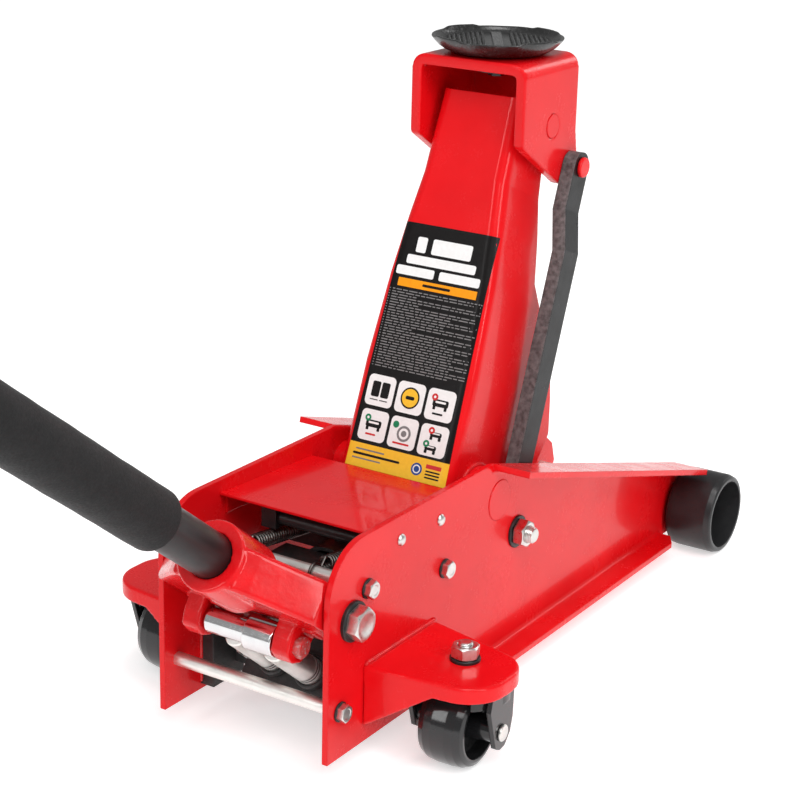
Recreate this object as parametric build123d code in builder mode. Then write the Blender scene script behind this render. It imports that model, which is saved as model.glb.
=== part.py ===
from build123d import *
import os
from math import sin, cos, radians, sqrt

# Hydraulic trolley jack, raised.
# +X runs from the handle end to the front rollers, +Z is up, Y = 0 is the middle plane.
# The drawing datum (x = 0 in the dimensions below) is the rear edge of the side plates;
# DATUM_X moves that datum so that the origin is under the middle of the whole jack.
os.makedirs("parts", exist_ok=True)

DATUM_X = 122.8         # x of the side plates' rear edge in the finished model
OUT_Y = 80.0            # outer face of each side plate
PLATE_T = 5.0           # side plate thickness
IN_Y = OUT_Y - PLATE_T  # inner face of each side plate
PLATE_TOP = 190.0       # top edge of the side plates
PLATE_BOTTOM = 19.0
SLOPE_START = 233.0     # where the top edge starts to fall towards the front
NOSE = (586.0, 84.4)    # front end of the sloping top edge
FLANGE_W = 33.4         # outward top flange width
FOOT_W = 22.0           # outward bottom flange width

ARM_P = (244.0, 155.0)  # arm pivot (x, z)
ARM_DEG = 67.94         # arm axis above horizontal
HEAD_A = (352.5, 445.0)  # saddle bracket pivot on the arm
LINK_V = (31.0, -38.0)  # from arm pivot to link pivot, and from head pivot to link pin
SHAFT_R = 17.5
LEVER_R = 46.0          # ram lever radius
LEVER_DEG = 43.25       # ram lever, forward of straight down
RAM_Z = 105.0           # ram axis height

PIVOT = (30.5, 126.8)   # handle socket pivot (x, z)
HANDLE_DEG = 37.6       # handle axis above horizontal
HANDLE_OFF = 3.0        # handle axis above the pivot
TUBE_R = 17.7
SLEEVE_R = 23.4
HANDLE_END = 1140.0     # far end of the handle from the pivot
ROLLER_DROP = 31.45     # pump roller below the pivot, square to the handle
PUMP_DEG = 40.0         # pump plungers' slope below horizontal

WHEEL_X, WHEEL_R = 598.0, 38.5
WHEEL_Y0, WHEEL_Y1 = 82.5, 130.3
AXLE_R = 9.0

CASTER = (101.0, 136.7)  # swivel axis (x, |y|)
CASTER_TOP = 83.7        # top face of the caster bracket
CASTER_R = 35.0          # caster wheel radius
CASTER_DEG = 2.0         # swivel position at rest
TRAIL = 6.4

SADDLE_X, SADDLE_TOP, SADDLE_R = 349.8, 516.4, 55.1
HEAD_TOP = 500.5
HEAD_Y = 54.0            # outer face of the saddle bracket's legs


def at(x, y, z):
    """A point in drawing dimensions as a point of the model."""
    return (DATUM_X + x, y, z)


def side(y):
    """Plane of the side view at y: local (x, z), extruding towards -Y."""
    return Plane(origin=(DATUM_X, y, 0), x_dir=(1, 0, 0), z_dir=(0, -1, 0))


ARM_E = (cos(radians(ARM_DEG)), 0, sin(radians(ARM_DEG)))
ARM_N = (-sin(radians(ARM_DEG)), 0, cos(radians(ARM_DEG)))


def arm_side(y):
    """Side view plane in the arm's own axes, origin on the arm pivot."""
    return Plane(origin=at(ARM_P[0], y, ARM_P[1]), x_dir=ARM_E, z_dir=(0, -1, 0))


def arm_section(s):
    """Plane square to the arm at s: local x is +Y, local y is the arm's upper side."""
    o = at(ARM_P[0] + ARM_E[0] * s, 0, ARM_P[1] + ARM_E[2] * s)
    return Plane(origin=o, x_dir=(0, 1, 0), z_dir=ARM_E)


HD = radians(HANDLE_DEG)
HAND = (-cos(HD), 0, sin(HD))   # along the handle, away from the jack
HAND_UP = (sin(HD), 0, cos(HD))  # square to it, upwards


def hand_point(t, o):
    return (PIVOT[0] + HAND[0] * t + HAND_UP[0] * o, PIVOT[1] + HAND[2] * t + HAND_UP[2] * o)


def hand_plane(t, o=HANDLE_OFF):
    x, z = hand_point(t, o)
    return Plane(origin=at(x, 0, z), x_dir=(0, 1, 0), z_dir=HAND)


def hand_side(y):
    """Side view plane in the handle's axes: local x along the handle, local y upwards, extruding to +Y."""
    return Plane(origin=at(PIVOT[0], y, PIVOT[1]), x_dir=HAND, z_dir=(0, 1, 0))


PD = radians(PUMP_DEG)
PUMP = (cos(PD), 0, -sin(PD))   # plunger axis, into the pump block
ROLL_X, ROLL_Z = hand_point(9.2, -ROLLER_DROP)
LINK_Q = (ARM_P[0] + LINK_V[0], ARM_P[1] + LINK_V[1])
LINK_B = (HEAD_A[0] + LINK_V[0], HEAD_A[1] + LINK_V[1])
SPLASH = radians(LEVER_DEG)
LEVER_PIN = (ARM_P[0] + LEVER_R * sin(SPLASH), ARM_P[1] - LEVER_R * cos(SPLASH))
UNIT_BOLT = (159.9, 123.6)
ANCHOR = (50.2, 146.0)
TIE = (16.0, 57.8)
RIVETS = [(95.1, 170.0), (152.1, 167.5)]

# ---------------------------------------------------------------- side plates
slope = ((PLATE_TOP - NOSE[1]) / (NOSE[0] - SLOPE_START))
with BuildPart() as side_plate_right:
    with BuildSketch(side(-IN_Y)):
        with BuildLine():
            l1 = Line((0, PLATE_BOTTOM), (0, PLATE_TOP - 45))
            a1 = RadiusArc(l1 @ 1, (45, PLATE_TOP), 45)
            l2 = Polyline(a1 @ 1, (SLOPE_START, PLATE_TOP), NOSE, (604, 74), (622, 60), (628, 40),
                          (620, 22), (604, 16), (160, 16), (146, PLATE_BOTTOM), (0, PLATE_BOTTOM))
        make_face()
        with Locations(PIVOT):
            Circle(8.0, mode=Mode.SUBTRACT)
        with Locations(ANCHOR, UNIT_BOLT, TIE):
            Circle(4.0, mode=Mode.SUBTRACT)
        with Locations(*RIVETS):
            Circle(2.5, mode=Mode.SUBTRACT)
        with Locations(LINK_Q):
            Circle(7.0, mode=Mode.SUBTRACT)
        with Locations(ARM_P):
            Circle(SHAFT_R, mode=Mode.SUBTRACT)
        with Locations((WHEEL_X, WHEEL_R)):
            Circle(AXLE_R, mode=Mode.SUBTRACT)
    extrude(amount=PLATE_T)
    with BuildSketch(side(-IN_Y)):
        Polygon((SLOPE_START, PLATE_TOP), NOSE, (NOSE[0] - 1.4, NOSE[1] - 5), (SLOPE_START - 1.4, PLATE_TOP - 5), align=None)
    extrude(amount=PLATE_T + FLANGE_W)
    with BuildSketch(side(-IN_Y)):
        Polygon((157, 16), (556, 16), (556, 21), (157, 21), align=None)
    extrude(amount=PLATE_T + FOOT_W)
    chamfer(side_plate_right.edges().filter_by(Axis.Z).filter_by(lambda e: abs(e.center().X - DATUM_X - 556) < 0.1 and e.center().Y < -101), length=9, length2=15)
    fillet(side_plate_right.edges().filter_by(lambda e: abs(e.center().Y + OUT_Y) < 0.01 and e.length > 300 and e.center().Z < 30 and e.center().Z > 20), 4)
    fillet(side_plate_right.edges().filter_by(lambda e: abs(e.center().Y + OUT_Y) < 0.01 and e.length > 300 and e.center().Z > 100), 4)
    fillet(side_plate_right.edges().filter_by(lambda e: abs(e.center().Y + IN_Y) < 0.01 and e.length > 300 and e.center().Z > 100), 4)
side_plate_right.part.label = "side_plate_right"
export_step(side_plate_right.part, "parts/side_plate_right.step")

with BuildPart() as side_plate_left:
    mirror(side_plate_right.part, about=Plane.XZ)
side_plate_left.part.label = "side_plate_left"
export_step(side_plate_left.part, "parts/side_plate_left.step")

# ---------------------------------------------------------------- caster brackets
# top plate, a short lip all round its free edge, and a gusset down the rear
GX, GY = 8.0 / 75.42, -75.0 / 75.42
with BuildPart() as caster_bracket_right:
    with BuildSketch(Plane.XY.offset(CASTER_TOP - 4)) as plan:
        with BuildLine():
            Polyline(at(46, -OUT_Y, 0)[:2], at(56.8, -181, 0)[:2], at(124, -181, 0)[:2], at(147, -OUT_Y, 0)[:2], close=True)
        make_face()
        fillet(plan.vertices().group_by(Axis.Y)[0].sort_by(Axis.X)[0], 34)
        fillet(plan.vertices().group_by(Axis.Y)[0].sort_by(Axis.X)[-1], 32)
    extrude(amount=4)
    with BuildSketch(Plane.XY.offset(CASTER_TOP - 13)) as rim:
        add(plan.sketch.moved(Location((0, 0, -9))))
        offset(amount=-4, mode=Mode.SUBTRACT)
        with Locations(at(98, -OUT_Y - 5, 0)[:2]):
            Rectangle(97, 10.2, mode=Mode.SUBTRACT)
        with Locations(at(CASTER[0], -CASTER[1], 0)[:2]):
            Circle(38.5, mode=Mode.SUBTRACT)
    extrude(amount=9)
    with BuildSketch(Plane(origin=at(46, -OUT_Y, 0), x_dir=(GX, GY, 0), z_dir=(GY, -GX, 0))):
        Polygon((0.6, CASTER_TOP - 4), (0.6, 33), (58, CASTER_TOP - 13), (66, CASTER_TOP - 13), (66, CASTER_TOP - 4), align=None)
    extrude(amount=-4)
    with Locations(at(CASTER[0], -CASTER[1], CASTER_TOP)):
        Hole(6.0, depth=20)
    fillet(caster_bracket_right.edges().group_by(Axis.Z)[-1].filter_by(lambda e: e.center().Y < -OUT_Y - 1 and e.center().X < DATUM_X + 140 and e.length > 20 and e.center().Y < -100 and e.geom_type == GeomType.LINE), 2)
caster_bracket_right.part.label = "caster_bracket_right"
export_step(caster_bracket_right.part, "parts/caster_bracket_right.step")

with BuildPart() as caster_bracket_left:
    mirror(caster_bracket_right.part, about=Plane.XZ)
caster_bracket_left.part.label = "caster_bracket_left"
export_step(caster_bracket_left.part, "parts/caster_bracket_left.step")

# ---------------------------------------------------------------- cover plate between the side plates
COVER_FALL = 6.0 / 129.0
with BuildPart() as cover_plate:
    with BuildSketch(side(IN_Y)):
        Polygon((70.8, 180), (196, 174.2), (196, 172.2), (70.8, 178), align=None)
    extrude(amount=2 * IN_Y)
    with BuildSketch(side(IN_Y)):
        Polygon((78, 177.8), (190, 172.6), (190, 158), (78, 161), align=None)
    extrude(amount=2)
    with BuildSketch(side(-IN_Y + 2)):
        Polygon((78, 177.8), (190, 172.6), (190, 158), (78, 161), align=None)
    extrude(amount=2)
    with BuildSketch(side(IN_Y)):
        with Locations(*RIVETS):
            Circle(2.5)
    extrude(amount=2 * IN_Y, mode=Mode.SUBTRACT)
cover_plate.part.label = "cover_plate"
export_step(cover_plate.part, "parts/cover_plate.step")

with BuildPart() as cover_rivets:
    for y0, d in ((-IN_Y + 2, 1), (IN_Y - 2, -1)):
        for x, z in RIVETS:
            with BuildSketch(Plane(origin=at(x, y0, z), x_dir=(1, 0, 0), z_dir=(0, -d, 0))):
                Circle(2.5)
            extrude(amount=PLATE_T + 2)
            with BuildSketch(Plane(origin=at(x, -d * OUT_Y, z), x_dir=(1, 0, 0), z_dir=(0, -d, 0))):
                Circle(5.0)
            extrude(amount=3.0, taper=22)
cover_rivets.part.label = "cover_rivets"
export_step(cover_rivets.part, "parts/cover_rivets.step")

# stay rod under the cover's rear edge, in a block under the cover
with BuildPart() as cover_stay_rod:
    with BuildSketch(side(34)):
        with Locations((92, 163)):
            Circle(5.5)
    extrude(amount=34 + IN_Y - 2)
    with BuildSketch(side(44)):
        Polygon((84, 155), (100, 155), (100, 175.8), (84, 176.5), align=None)
    extrude(amount=14)
cover_stay_rod.part.label = "cover_stay_rod"
export_step(cover_stay_rod.part, "parts/cover_stay_rod.step")

# ---------------------------------------------------------------- rods across the rear
with BuildPart() as rear_tie_rod:
    with BuildSketch(side(IN_Y)):
        with Locations(TIE):
            Circle(5.5)
            Circle(4.0, mode=Mode.SUBTRACT)
    extrude(amount=2 * IN_Y)
    with BuildSketch(side(IN_Y - 16)):
        with Locations(TIE):
            Circle(4.0)
    extrude(amount=2 * (IN_Y - 16))
rear_tie_rod.part.label = "rear_tie_rod"
export_step(rear_tie_rod.part, "parts/rear_tie_rod.step")

with BuildPart() as spring_anchor_rod:
    with BuildSketch(side(IN_Y)):
        with Locations(ANCHOR):
            Circle(6.0)
            Circle(4.0, mode=Mode.SUBTRACT)
    extrude(amount=2 * IN_Y)
    with BuildSketch(side(IN_Y - 16)):
        with Locations(ANCHOR):
            Circle(4.0)
    extrude(amount=2 * (IN_Y - 16))
spring_anchor_rod.part.label = "spring_anchor_rod"
export_step(spring_anchor_rod.part, "parts/spring_anchor_rod.step")

# six M8 hex bolts through the side plates: tie rod, anchor rod and power unit
with BuildPart() as frame_bolts:
    for d in (1, -1):
        for x, z in (TIE, ANCHOR, UNIT_BOLT):
            with BuildSketch(Plane(origin=at(x, -d * (IN_Y - 15.5), z), x_dir=(1, 0, 0), z_dir=(0, -d, 0))):
                Circle(4.0)
            extrude(amount=PLATE_T + 17)
            with BuildSketch(Plane(origin=at(x, -d * (OUT_Y + 1.5), z), x_dir=(1, 0, 0), z_dir=(0, -d, 0))):
                RegularPolygon(7.5, 6)
            extrude(amount=5.5)
frame_bolts.part.label = "frame_bolts"
export_step(frame_bolts.part, "parts/frame_bolts.step")

with BuildPart() as handle_pivot_bolts:
    for d in (1, -1):
        with BuildSketch(Plane(origin=at(PIVOT[0], -d * 56, PIVOT[1]), x_dir=(1, 0, 0), z_dir=(0, -d, 0))):
            Circle(8.0)
        extrude(amount=OUT_Y + 3 - 56)
        with BuildSketch(Plane(origin=at(PIVOT[0], -d * (OUT_Y + 3), PIVOT[1]), x_dir=(1, 0, 0), z_dir=(0, -d, 0))):
            RegularPolygon(14.0, 6)
        extrude(amount=10)
handle_pivot_bolts.part.label = "handle_pivot_bolts"
export_step(handle_pivot_bolts.part, "parts/handle_pivot_bolts.step")

# dark washers under the bolt heads and nuts
WASHERS = [(TIE, 4.0, 8.0, 1.5), (ANCHOR, 4.0, 8.0, 1.5), (UNIT_BOLT, 4.0, 8.0, 1.5),
           (PIVOT, 8.0, 16.0, 3.0), (LINK_Q, 7.0, 14.0, 2.0)]
with BuildPart() as washers:
    for d in (1, -1):
        for (x, z), r0, r1, t in WASHERS:
            with BuildSketch(Plane(origin=at(x, -d * OUT_Y, z), x_dir=(1, 0, 0), z_dir=(0, -d, 0))):
                Circle(r1)
                Circle(r0, mode=Mode.SUBTRACT)
            extrude(amount=t)
        with BuildSketch(Plane(origin=at(CASTER[0], d * CASTER[1], CASTER_TOP), z_dir=(0, 0, 1))):
            Circle(12.0)
            Circle(6.0, mode=Mode.SUBTRACT)
        extrude(amount=2.5)
washers.part.label = "washers"
export_step(washers.part, "parts/washers.step")

# ---------------------------------------------------------------- arm shaft, front axle, link pivots
with BuildPart() as arm_shaft:
    with BuildSketch(side(OUT_Y + 0.6)):
        with Locations(ARM_P):
            Circle(SHAFT_R)
    extrude(amount=2 * (OUT_Y + 0.6))
    chamfer(arm_shaft.edges().filter_by(GeomType.CIRCLE), 0.5)
arm_shaft.part.label = "arm_shaft"
export_step(arm_shaft.part, "parts/arm_shaft.step")

with BuildPart() as front_axle:
    with BuildSketch(side(114)):
        with Locations((WHEEL_X, WHEEL_R)):
            Circle(AXLE_R)
    extrude(amount=228)
    chamfer(front_axle.edges().filter_by(GeomType.CIRCLE), 1.0)
front_axle.part.label = "front_axle"
export_step(front_axle.part, "parts/front_axle.step")

with BuildPart() as axle_rings:
    for d in (1, -1):
        with BuildSketch(Plane(origin=at(WHEEL_X, -d * 107.3, WHEEL_R), x_dir=(1, 0, 0), z_dir=(0, -d, 0))):
            Circle(13.5)
            Circle(AXLE_R, mode=Mode.SUBTRACT)
        extrude(amount=2.2)
        with BuildSketch(Plane(origin=at(WHEEL_X, -d * OUT_Y, WHEEL_R), x_dir=(1, 0, 0), z_dir=(0, -d, 0))):
            Circle(15.0)
            Circle(AXLE_R, mode=Mode.SUBTRACT)
        extrude(amount=2.2)
axle_rings.part.label = "axle_rings"
export_step(axle_rings.part, "parts/axle_rings.step")

with BuildPart() as link_pivot_bolts:
    for d in (1, -1):
        with BuildSketch(Plane(origin=at(LINK_Q[0], -d * 62, LINK_Q[1]), x_dir=(1, 0, 0), z_dir=(0, -d, 0))):
            Circle(7.0)
        extrude(amount=36)
        with BuildSketch(Plane(origin=at(LINK_Q[0], -d * 56, LINK_Q[1]), x_dir=(1, 0, 0), z_dir=(0, -d, 0))):
            Circle(11.0)
        extrude(amount=6)
    chamfer(link_pivot_bolts.edges().filter_by(GeomType.CIRCLE).filter_by(lambda e: abs(abs(e.center().Y) - 98) < 0.1), 1.0)
link_pivot_bolts.part.label = "link_pivot_bolts"
export_step(link_pivot_bolts.part, "parts/link_pivot_bolts.step")

with BuildPart() as hex_nuts:
    for d in (1, -1):
        with BuildSketch(Plane(origin=at(LINK_Q[0], -d * (OUT_Y + 2), LINK_Q[1]), x_dir=(1, 0, 0), z_dir=(0, -d, 0))):
            RegularPolygon(12.1, 6)
            Circle(7.0, mode=Mode.SUBTRACT)
        extrude(amount=10)
        with BuildSketch(Plane(origin=at(CASTER[0], d * CASTER[1], CASTER_TOP + 2.5), z_dir=(0, 0, 1))):
            RegularPolygon(11.5, 6, rotation=10 * d)
            Circle(6.0, mode=Mode.SUBTRACT)
        extrude(amount=10)
hex_nuts.part.label = "hex_nuts"
export_step(hex_nuts.part, "parts/hex_nuts.step")

with BuildPart() as caster_king_bolts:
    for d in (1, -1):
        with BuildSketch(Plane(origin=at(CASTER[0], d * CASTER[1], 72.6), z_dir=(0, 0, 1))):
            Circle(10.0)
        extrude(amount=3.6)
        with BuildSketch(Plane(origin=at(CASTER[0], d * CASTER[1], 76), z_dir=(0, 0, 1))):
            Circle(6.0)
        extrude(amount=CASTER_TOP + 15 - 76)
caster_king_bolts.part.label = "caster_king_bolts"
export_step(caster_king_bolts.part, "parts/caster_king_bolts.step")

# ---------------------------------------------------------------- hydraulic power unit
MX, MZ = 63.0, 53.6   # middle of the pump bores' mouth face
PLUNGERS = ((-22.5, 11.0), (13.0, 9.5))                      # (y, radius)
BORE_DEPTH = 28.0
REACH = (MX - ROLL_X) * PUMP[0] + (MZ - ROLL_Z) * PUMP[2]      # from the roller to the mouth, along the plungers
with BuildPart() as pump_block:
    with BuildSketch(side(40)):
        Polygon((60, 27), (MX - PUMP[2] * -20, MZ - PUMP[0] * 20), (MX + sin(PD) * 27, MZ + cos(PD) * 27),
                (82, 132), (112, 132), (112, 23), (78, 23), align=None)
    extrude(amount=80)
    with BuildSketch(side(62)):
        Polygon((74, 36), (86, 36), (86, 92), (82, 92), (74, 66), align=None)
    extrude(amount=124)
    for y, r in PLUNGERS:
        with BuildSketch(Plane(origin=at(MX - PUMP[0] * 12, y, MZ - PUMP[2] * 12), x_dir=(0, 1, 0), z_dir=PUMP)):
            Circle(r + 0.05)
        extrude(amount=BORE_DEPTH + 12, mode=Mode.SUBTRACT)
    with BuildSketch(Plane(origin=at(MX - PUMP[0] * 12, 32, MZ - PUMP[2] * 12), x_dir=(0, 1, 0), z_dir=PUMP)):
        Circle(4.05)
    extrude(amount=34, mode=Mode.SUBTRACT)
    with BuildSketch(Plane(origin=at(96, 0, RAM_Z), x_dir=(0, 1, 0), z_dir=(1, 0, 0))):
        Circle(14.0)
    extrude(amount=20, mode=Mode.SUBTRACT)
pump_block.part.label = "pump_block"
export_step(pump_block.part, "parts/pump_block.step")

with BuildPart() as ram_cylinder:
    with BuildSketch(Plane(origin=at(112, 0, RAM_Z), x_dir=(0, 1, 0), z_dir=(1, 0, 0))):
        Circle(20.0)
        Circle(14.0, mode=Mode.SUBTRACT)
    extrude(amount=60)
    with BuildSketch(Plane(origin=at(172, 0, RAM_Z), x_dir=(0, 1, 0), z_dir=(1, 0, 0))):
        Circle(20.0)
        Circle(11.05, mode=Mode.SUBTRACT)
    extrude(amount=4)
ram_cylinder.part.label = "ram_cylinder"
export_step(ram_cylinder.part, "parts/ram_cylinder.step")

with BuildPart() as reservoir_tank:
    with BuildSketch(Plane(origin=at(112, 0, RAM_Z), x_dir=(0, 1, 0), z_dir=(1, 0, 0))):
        Circle(32.0)
        Circle(29.0, mode=Mode.SUBTRACT)
    extrude(amount=58)
    with BuildSketch(Plane(origin=at(170, 0, RAM_Z), x_dir=(0, 1, 0), z_dir=(1, 0, 0))):
        Circle(32.0)
        Circle(20.0, mode=Mode.SUBTRACT)
    extrude(amount=4)
    with BuildSketch(Plane(origin=at(136, 0, RAM_Z + 20), z_dir=(0, 0, 1))):
        Circle(5.0)
    extrude(amount=20, mode=Mode.SUBTRACT)
reservoir_tank.part.label = "reservoir_tank"
export_step(reservoir_tank.part, "parts/reservoir_tank.step")

with BuildPart() as filler_plug:
    with BuildSketch(Plane(origin=at(136, 0, RAM_Z + 27), z_dir=(0, 0, 1))):
        Circle(5.0)
    extrude(amount=5.5)
    with BuildSketch(Plane(origin=at(136, 0, RAM_Z + 32.2), z_dir=(0, 0, 1))):
        Circle(8.0)
    extrude(amount=3)
filler_plug.part.label = "filler_plug"
export_step(filler_plug.part, "parts/filler_plug.step")

# lugs that carry the power unit: an angle strip up the inside of each side plate and a lug at the tank's front
with BuildPart() as unit_mounts:
    for d in (1, -1):
        with BuildSketch(Plane.XY.offset(24)):
            with Locations(at(47, -d * 68.5, 0)[:2]):
                Rectangle(4, 13)
            with Locations(at(66, -d * 64, 0)[:2]):
                Rectangle(38, 4)
        extrude(amount=76)
        with BuildSketch(Plane.XY.offset(UNIT_BOLT[1] - 9)):
            with Locations(at(UNIT_BOLT[0], -d * 61, 0)[:2]):
                Rectangle(16, 28)
        extrude(amount=18)
        with BuildSketch(Plane.XY.offset(UNIT_BOLT[1] - 9)):
            with Locations(at(UNIT_BOLT[0], -d * 36, 0)[:2]):
                Rectangle(16, 26)
        extrude(amount=12.6)
    with BuildSketch(Plane(origin=at(140, 0, RAM_Z), x_dir=(0, 1, 0), z_dir=(1, 0, 0))):
        Circle(32.0)
    extrude(amount=40, mode=Mode.SUBTRACT)
    with BuildSketch(side(IN_Y)):
        with Locations(UNIT_BOLT):
            Circle(4.0)
    extrude(amount=15.5, mode=Mode.SUBTRACT)
    with BuildSketch(side(-IN_Y + 15.5)):
        with Locations(UNIT_BOLT):
            Circle(4.0)
    extrude(amount=15.5, mode=Mode.SUBTRACT)
unit_mounts.part.label = "unit_mounts"
export_step(unit_mounts.part, "parts/unit_mounts.step")

# scraper rings where the plungers enter the block
with BuildPart() as plunger_wipers:
    for y, r in PLUNGERS:
        with BuildSketch(Plane(origin=at(MX - PUMP[0] * 7, y, MZ - PUMP[2] * 7), x_dir=(0, 1, 0), z_dir=PUMP)):
            Circle(r + 3.0)
            Circle(r + 0.3, mode=Mode.SUBTRACT)
        extrude(amount=7)
plunger_wipers.part.label = "plunger_wipers"
export_step(plunger_wipers.part, "parts/plunger_wipers.step")

# ---------------------------------------------------------------- lift arm
# pressed channel, open below, narrower towards the head, with a deep heel over the pivot
ARM_STATIONS = ((-40, 54.3), (90, 54.2), (165, 50.4), (215, 45.4), (252, 40.6), (330, 38.6))
with BuildPart() as arm_hollow:
    for s, w in ARM_STATIONS:
        with BuildSketch(arm_section(s)) as sec2:
            with Locations((0, (36.5 - 140) / 2)):
                Rectangle(2 * (w - 5.5), 176.5)
            fillet(sec2.vertices().group_by(Axis.Y)[-1], 5)
    loft(ruled=True)

with BuildPart() as lift_arm:
    for s, w in ARM_STATIONS:
        with BuildSketch(arm_section(s)) as sec:
            with Locations((0, (42 - 130) / 2)):
                Rectangle(2 * w, 172)
            fillet(sec.vertices().group_by(Axis.Y)[-1], 10)
    loft(ruled=True)
    with BuildSketch(arm_side(60)) as prof:
        Polygon((-8, 42), (322.6, 42), (326, 30), (326, 4), (312, -10), (267, -18), (222, -27), (182, -34), (112, -92),
                (62, -112), (30, -100), (-14, -46), (-30, -10), (-28, 18), align=None)
        fillet(prof.vertices().filter_by(lambda v: v.X < 110 and v.Y < 40), 8)
    extrude(amount=120, mode=Mode.INTERSECT)
    add(arm_hollow.part, mode=Mode.SUBTRACT)
    with BuildSketch(side(60)):
        with Locations(ARM_P):
            Circle(24.0)
        with Locations(HEAD_A):
            Circle(16.0)
    extrude(amount=120, mode=Mode.SUBTRACT)
lift_arm.part.label = "lift_arm"
export_step(lift_arm.part, "parts/lift_arm.step")

# pivot tubes welded into the arm: two on the shaft, one for the head pin
with BuildPart() as arm_tubes:
    for y in (60, -42):
        with BuildSketch(side(y)):
            with Locations(ARM_P):
                Circle(24.0)
                Circle(SHAFT_R + 0.05, mode=Mode.SUBTRACT)
        extrude(amount=18)
    with BuildSketch(side(43)):
        with Locations(HEAD_A):
            Circle(16.0)
            Circle(10.05, mode=Mode.SUBTRACT)
    extrude(amount=86)
arm_tubes.part.label = "arm_tubes"
export_step(arm_tubes.part, "parts/arm_tubes.step")

# ram lever: two cheeks on the shaft, a back web that ties them to the arm's top plate
with BuildPart() as arm_lever:
    for y in (24, -14):
        with BuildSketch(side(y)) as chk:
            with Locations(ARM_P):
                Circle(23.0)
            with Locations(LEVER_PIN):
                Circle(13.0)
            make_hull()
            with Locations(ARM_P):
                Circle(SHAFT_R + 0.05, mode=Mode.SUBTRACT)
            with Locations(LEVER_PIN):
                Circle(8.0, mode=Mode.SUBTRACT)
        extrude(amount=10)
    with BuildSketch(arm_side(43)):
        Polygon((24.4, 36.4), (24.4, -20), (31, -20), (31, 36.4), align=None)
    extrude(amount=86)
    for y in (24, -14):
        with BuildSketch(arm_side(y)):
            Polygon((8, 21), (25, 30), (25, -18), (12, -20), align=None)
        extrude(amount=10)
    with BuildSketch(side(60)):
        with Locations(ARM_P):
            Circle(SHAFT_R + 0.05)
    extrude(amount=120, mode=Mode.SUBTRACT)
arm_lever.part.label = "arm_lever"
export_step(arm_lever.part, "parts/arm_lever.step")

with BuildPart() as lever_pin:
    with BuildSketch(side(43)):
        with Locations(LEVER_PIN):
            Circle(8.0)
    extrude(amount=86)
lever_pin.part.label = "lever_pin"
export_step(lever_pin.part, "parts/lever_pin.step")

# ---------------------------------------------------------------- saddle bracket (head)
with BuildPart() as saddle_bracket:
    with BuildSketch(side(HEAD_Y)) as leg:
        Polygon((303.5, HEAD_TOP), (394, HEAD_TOP), (394, 434), (398, 412), (395, 396), (383, 392.5), (370, 393),
                (303.5, 434), align=None)
        fillet(leg.vertices().filter_by(lambda v: 390 < v.X and v.Y < 400), 9)
        fillet(leg.vertices().filter_by(lambda v: v.X < 372 and v.Y < 440), 6)
    extrude(amount=2 * HEAD_Y)
    with BuildSketch(Plane(origin=at(300, 0, 0), x_dir=(0, 1, 0), z_dir=(1, 0, 0))) as inner:
        with Locations((0, (HEAD_TOP - 9 + 380) / 2)):
            Rectangle(2 * (HEAD_Y - 9), HEAD_TOP - 9 - 380)
        fillet(inner.vertices().group_by(Axis.Y)[-1], 4)
    extrude(amount=88, mode=Mode.SUBTRACT)
    with BuildSketch(Plane(origin=at(386, 0, 0), x_dir=(0, 1, 0), z_dir=(1, 0, 0))):
        with Locations((0, 405)):
            Rectangle(2 * (HEAD_Y - 9), 50)
    extrude(amount=20, mode=Mode.SUBTRACT)
    fillet(saddle_bracket.edges().filter_by(Axis.X).filter_by(lambda e: e.center().Z > HEAD_TOP - 0.1), 12)
    with BuildSketch(side(60)):
        with Locations(HEAD_A):
            Circle(10.0)
        with Locations(LINK_B):
            Circle(6.0)
    extrude(amount=120, mode=Mode.SUBTRACT)
    with Locations(at(SADDLE_X, 0, HEAD_TOP)):
        Hole(15.0, depth=12)
saddle_bracket.part.label = "saddle_bracket"
export_step(saddle_bracket.part, "parts/saddle_bracket.step")

with BuildPart() as head_pin:
    with BuildSketch(side(HEAD_Y + 0.4)):
        with Locations(HEAD_A):
            Circle(10.0)
    extrude(amount=2 * (HEAD_Y + 0.4))
    chamfer(head_pin.edges().filter_by(GeomType.CIRCLE), 0.4)
head_pin.part.label = "head_pin"
export_step(head_pin.part, "parts/head_pin.step")

with BuildPart() as link_pins:
    for d in (1, -1):
        with BuildSketch(Plane(origin=at(LINK_B[0], -d * 45, LINK_B[1]), x_dir=(1, 0, 0), z_dir=(0, -d, 0))):
            Circle(6.0)
        extrude(amount=22.3)
        with BuildSketch(Plane(origin=at(LINK_B[0], -d * 67, LINK_B[1]), x_dir=(1, 0, 0), z_dir=(0, -d, 0))):
            Circle(8.5)
        extrude(amount=3)
    fillet(link_pins.edges().filter_by(GeomType.CIRCLE).filter_by(lambda e: abs(abs(e.center().Y) - 70) < 0.1), 1.2)
link_pins.part.label = "link_pins"
export_step(link_pins.part, "parts/link_pins.step")

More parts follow.
